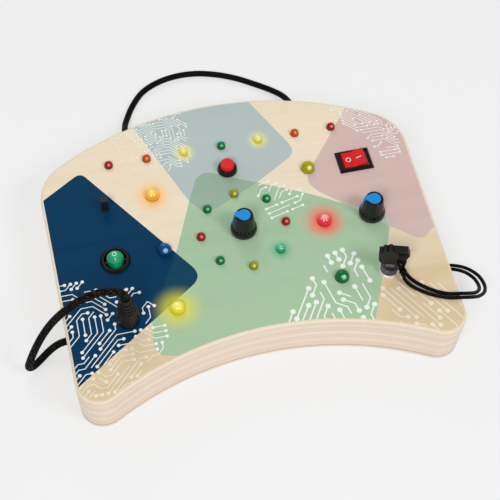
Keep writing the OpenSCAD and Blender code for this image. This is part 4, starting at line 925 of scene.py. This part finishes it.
STRAY = 0.4                     # how far a loose pad strays from its grid, as a share of the pitch


def dots(area, pitch, seed, share, pad):
    """Loose pads, scattered thinly."""
    rng = random.Random(seed)
    xs, ys = [p[0] for p in area], [p[1] for p in area]
    out = []
    x = min(xs)
    while x < max(xs):
        y = min(ys)
        while y < max(ys):
            p = (x + rng.uniform(-STRAY, STRAY) * pitch, y + rng.uniform(-STRAY, STRAY) * pitch)
            if rng.random() < share and inside(p, area):
                out.append(disc(p, pad, 12))
            y += pitch
        x += pitch
    return out


# Places that the tracks keep off, each with its radius.
SMALL_LAMPS = [(*ring_place(k), 3.0) for k in range(8)]
PLUG_SEAT, FRONT_LAMP, LOCK_SEAT = (-74.4, -45.5, 6.4), (BIG_X, BIG_Y - BIG_PITCH, 5.6), (*LOCK, 7.4)
CIRCUITS = (
    tracks([(-56, 82), (-19, 88.5), (-16.5, 81), (-18.5, 52), (-33.5, 44.5), (-38.5, 50.5)],
           pitch=2.15, turn=0, seed=4, steps=(3, 10), favoured=(7, 7, 0, 1, 6), width=0.42, pad=0.66)
    + dots([(-63, 79), (-53, 83.5), (-40.5, 50), (-46, 44), (-58, 56)], pitch=3.2, seed=8, share=0.5, pad=0.5)
    + tracks([(70, 76), (80, 73), (109, 56), (109, 34), (98, 28), (93.5, 29), (88, 46), (76, 60)],
             pitch=2.3, turn=0, seed=11, steps=(3, 9), favoured=(7, 7, 1, 5, 0), width=0.44, pad=0.72)
    + tracks([(13, 27), (22, 29), (42, 18), (35, -3), (14, 2)],
             pitch=3.4, turn=14, seed=23, steps=(2, 4), favoured=(0, 0, 1, 7), width=0.55, pad=0.9,
             keep_off=SMALL_LAMPS, bare=0.1)
    + tracks([(-112, -14), (-96, -15), (-84, -21), (-68, -26), (-52, -50), (-57, -66), (-70, -78), (-88, -88),
              (-112, -88)],
             pitch=3.3, turn=0, seed=31, steps=(2, 8), favoured=(1, 1, 2, 0, 7), width=0.52, pad=1.0,
             keep_off=(PLUG_SEAT,), shortest=1, bare=0.12, gap=0.35)
    + tracks([(10, -64), (28, -44), (45, -26), (58, -28), (64, -40), (61, -58), (62, -92), (14, -78)],
             pitch=4.8, turn=12, seed=47, steps=(2, 5), favoured=(2, 2, 1, 3), width=0.8, pad=1.5,
             keep_off=(FRONT_LAMP, LOCK_SEAT), block=2, shortest=1, bare=0.25)
    + tracks([(65, -54), (84, -52), (107, -60), (110, -92), (66, -92)],
             pitch=4.4, turn=-14, seed=52, steps=(2, 5), favoured=(7, 7, 6, 0), width=0.7, pad=1.4,
             keep_off=(LOCK_SEAT,), bare=0.4)
)
INK_LIFT = 0.03                 # how far print and marks lie over their surface
INSIDE_ONLY, WELD = 1, 1e-4     # no triangle outside the outlines; points as near as this are one


def top_print():
    """One thin skin over the top's printed parts, cut along every outline, each face in its own ink."""
    outer, *holes = top_loops()
    shapes = [("edge", outer), *(("hole", h) for h in holes), *ZONES.items(), *(("white", c) for c in CIRCUITS)]
    coords, faces, labels = [], [], []
    for label, shape in shapes:
        area = sum(a[0] * b[1] - b[0] * a[1] for a, b in zip(shape, shape[1:] + shape[:1]))
        ring = shape if area > 0 else shape[::-1]
        first = len(coords)
        coords.extend(Vector(p[:2]) for p in ring)
        faces.append(list(range(first, first + len(ring))))
        labels.append(label)
    points, _, triangles, _, _, owners = delaunay_2d_cdt(coords, [], faces, INSIDE_ONLY, WELD, True)
    names = list(INKS)
    kept, inks = [], []
    for triangle, owner in zip(triangles, owners):
        here = {labels[o] for o in owner}
        if "edge" not in here or "hole" in here:
            continue
        zones = here & set(ZONES)
        if "white" in here:
            behind = sum(points[v].y for v in triangle) > 0
            tint = "white" if zones or behind else "white_wood"
        elif not zones:
            continue
        elif "green" in zones and len(zones) > 1:
            tint = "green_" + min(zones - {"green"})
        else:
            tint = min(zones)
        kept.append(tuple(triangle))
        inks.append(names.index(tint))
    used = sorted({v for t in kept for v in t})
    index = {v: i for i, v in enumerate(used)}
    new_object("top_print", [(*points[v], TOP + INK_LIFT) for v in used],
               [tuple(index[v] for v in t) for t in kept], "board", list(INKS.values()),
               smooth=False, slot="plywood", face_materials=inks)


top_print()


# Switch marks

RING_SIDES, BAR_STEPS = 40, 10


def lay_on(node, points):
    """Points in plan, each set on a CAD node's surface as seen from above."""
    mesh = NODES[node].data
    tree = BVHTree.FromPolygons([v.co for v in mesh.vertices], [tuple(p.vertices) for p in mesh.polygons])
    above, down = 0.2, Vector((0, 0, -1))
    hits = [tree.ray_cast(Vector((x * MM, y * MM, above)), down) for x, y in points]
    return [tuple(place / MM + normal * INK_LIFT) for place, normal, _, _ in hits]


def mark(name, node, body, inner, outer, closed):
    """A thin painted mark between two lines of points, laid on the surface."""
    count = len(inner)
    faces = [(count + i, count + (i + 1) % count, (i + 1) % count, i) for i in range(count - (not closed))]
    new_object(name, lay_on(node, inner) + lay_on(node, outer), faces, body, [MARK], slot="white_plastic")


def ring_mark(name, node, body, centre, radius, width):
    inner, outer = (disc(centre, radius + way * width / 2, RING_SIDES) for way in (-1, 1))
    mark(name, node, body, inner, outer, closed=True)


def bar_mark(name, node, body, a, b, width):
    a, b = Vector(a), Vector(b)
    across = Vector((-(b - a).y, (b - a).x)).normalized() * width / 2
    inner, outer = ([tuple(a.lerp(b, k / BAR_STEPS) + way * across) for k in range(BAR_STEPS + 1)]
                    for way in (-1, 1))
    mark(name, node, body, inner, outer, closed=False)


RED_Y = 31.2                    # the red rocker's middle
ring_mark("red_rocker_off", "rect_rocker", "red_rocker", (71.6, RED_Y), 1.35, 0.42)
bar_mark("red_rocker_on", "rect_rocker", "red_rocker", (76.3, RED_Y), (79.3, RED_Y), 0.42)
ring_mark("green_rocker_off", "round_rocker", "green_rocker", (GREEN_X, -3.7), 1.1, 0.34)
bar_mark("green_rocker_on", "round_rocker", "green_rocker", (GREEN_X, -6.3), (GREEN_X, -8.7), 0.3)


# Floor, backdrop light and lamps

FLOOR_HALF, FLOOR_DROP = 20.0, 2e-5     # metres
PALE_SHARE = 0.6                # how much of the floor is plain pale where the camera or a gloss sees it
WORLD_STRENGTH = 0.4


def floor_material():
    """A pale floor that takes the object's shadow."""
    material, g = blank_material("floor")
    grey = g.ramp(g.noise(3.0, 2.0), (NOISE_LOW, (0.78, 0.78, 0.78, 1)), (NOISE_HIGH, (0.8, 0.8, 0.8, 1)))
    plain = g.node("ShaderNodeBsdfDiffuse", {"Color": grey})
    pale = g.node("ShaderNodeEmission", {"Color": srgb(250, 250, 250), "Strength": 1.0})
    path = g.node("ShaderNodeLightPath")
    seen = g.math("MAXIMUM", g.math("MAXIMUM", path.outputs["Is Camera Ray"], path.outputs["Is Glossy Ray"]),
                  path.outputs["Is Transmission Ray"])
    both = g.node("ShaderNodeMixShader", {0: g.math("MULTIPLY", seen, PALE_SHARE), 1: plain.outputs[0],
                                          2: pale.outputs[0]})
    g.node("ShaderNodeOutputMaterial", {"Surface": both.outputs[0]})
    return material


corners = [(x * FLOOR_HALF, y * FLOOR_HALF, -FLOOR_DROP) for x, y in ((-1, -1), (1, -1), (1, 1), (-1, 1))]
floor_mesh = bpy.data.meshes.new("floor")
floor_mesh.from_pydata(corners, [], [(0, 1, 2, 3)])
floor_mesh.materials.append(floor_material())
floor = bpy.data.objects.new("floor", floor_mesh)
bpy.context.scene.collection.objects.link(floor)

world = bpy.data.worlds.new("studio")
bpy.context.scene.world = world
world.use_nodes = True
sky = world.node_tree.nodes["Background"].inputs
sky["Color"].default_value = (1.0, 1.0, 1.0, 1.0)
sky["Strength"].default_value = WORLD_STRENGTH


def area_light(name, place, size, power):
    """A square lamp that faces the board's middle; place and size in metres, power in watts."""
    data = bpy.data.lights.new(name, "AREA")
    data.shape, data.size, data.energy = "SQUARE", size, power
    light = bpy.data.objects.new(name, data)
    light.location = place
    light.rotation_mode = "QUATERNION"
    light.rotation_quaternion = (-Vector(place)).to_track_quat("-Z", "Y")
    bpy.context.scene.collection.objects.link(light)


area_light("soft_left", (-0.5, -0.78, 1.08), 0.4, 6.6)
area_light("soft_right", (0.6, -0.68, 1.06), 0.4, 5.8)
area_light("soft_back", (-0.1, 1.0, 0.9), 0.6, 3.2)

bpy.context.scene.view_settings.view_transform = "Standard"
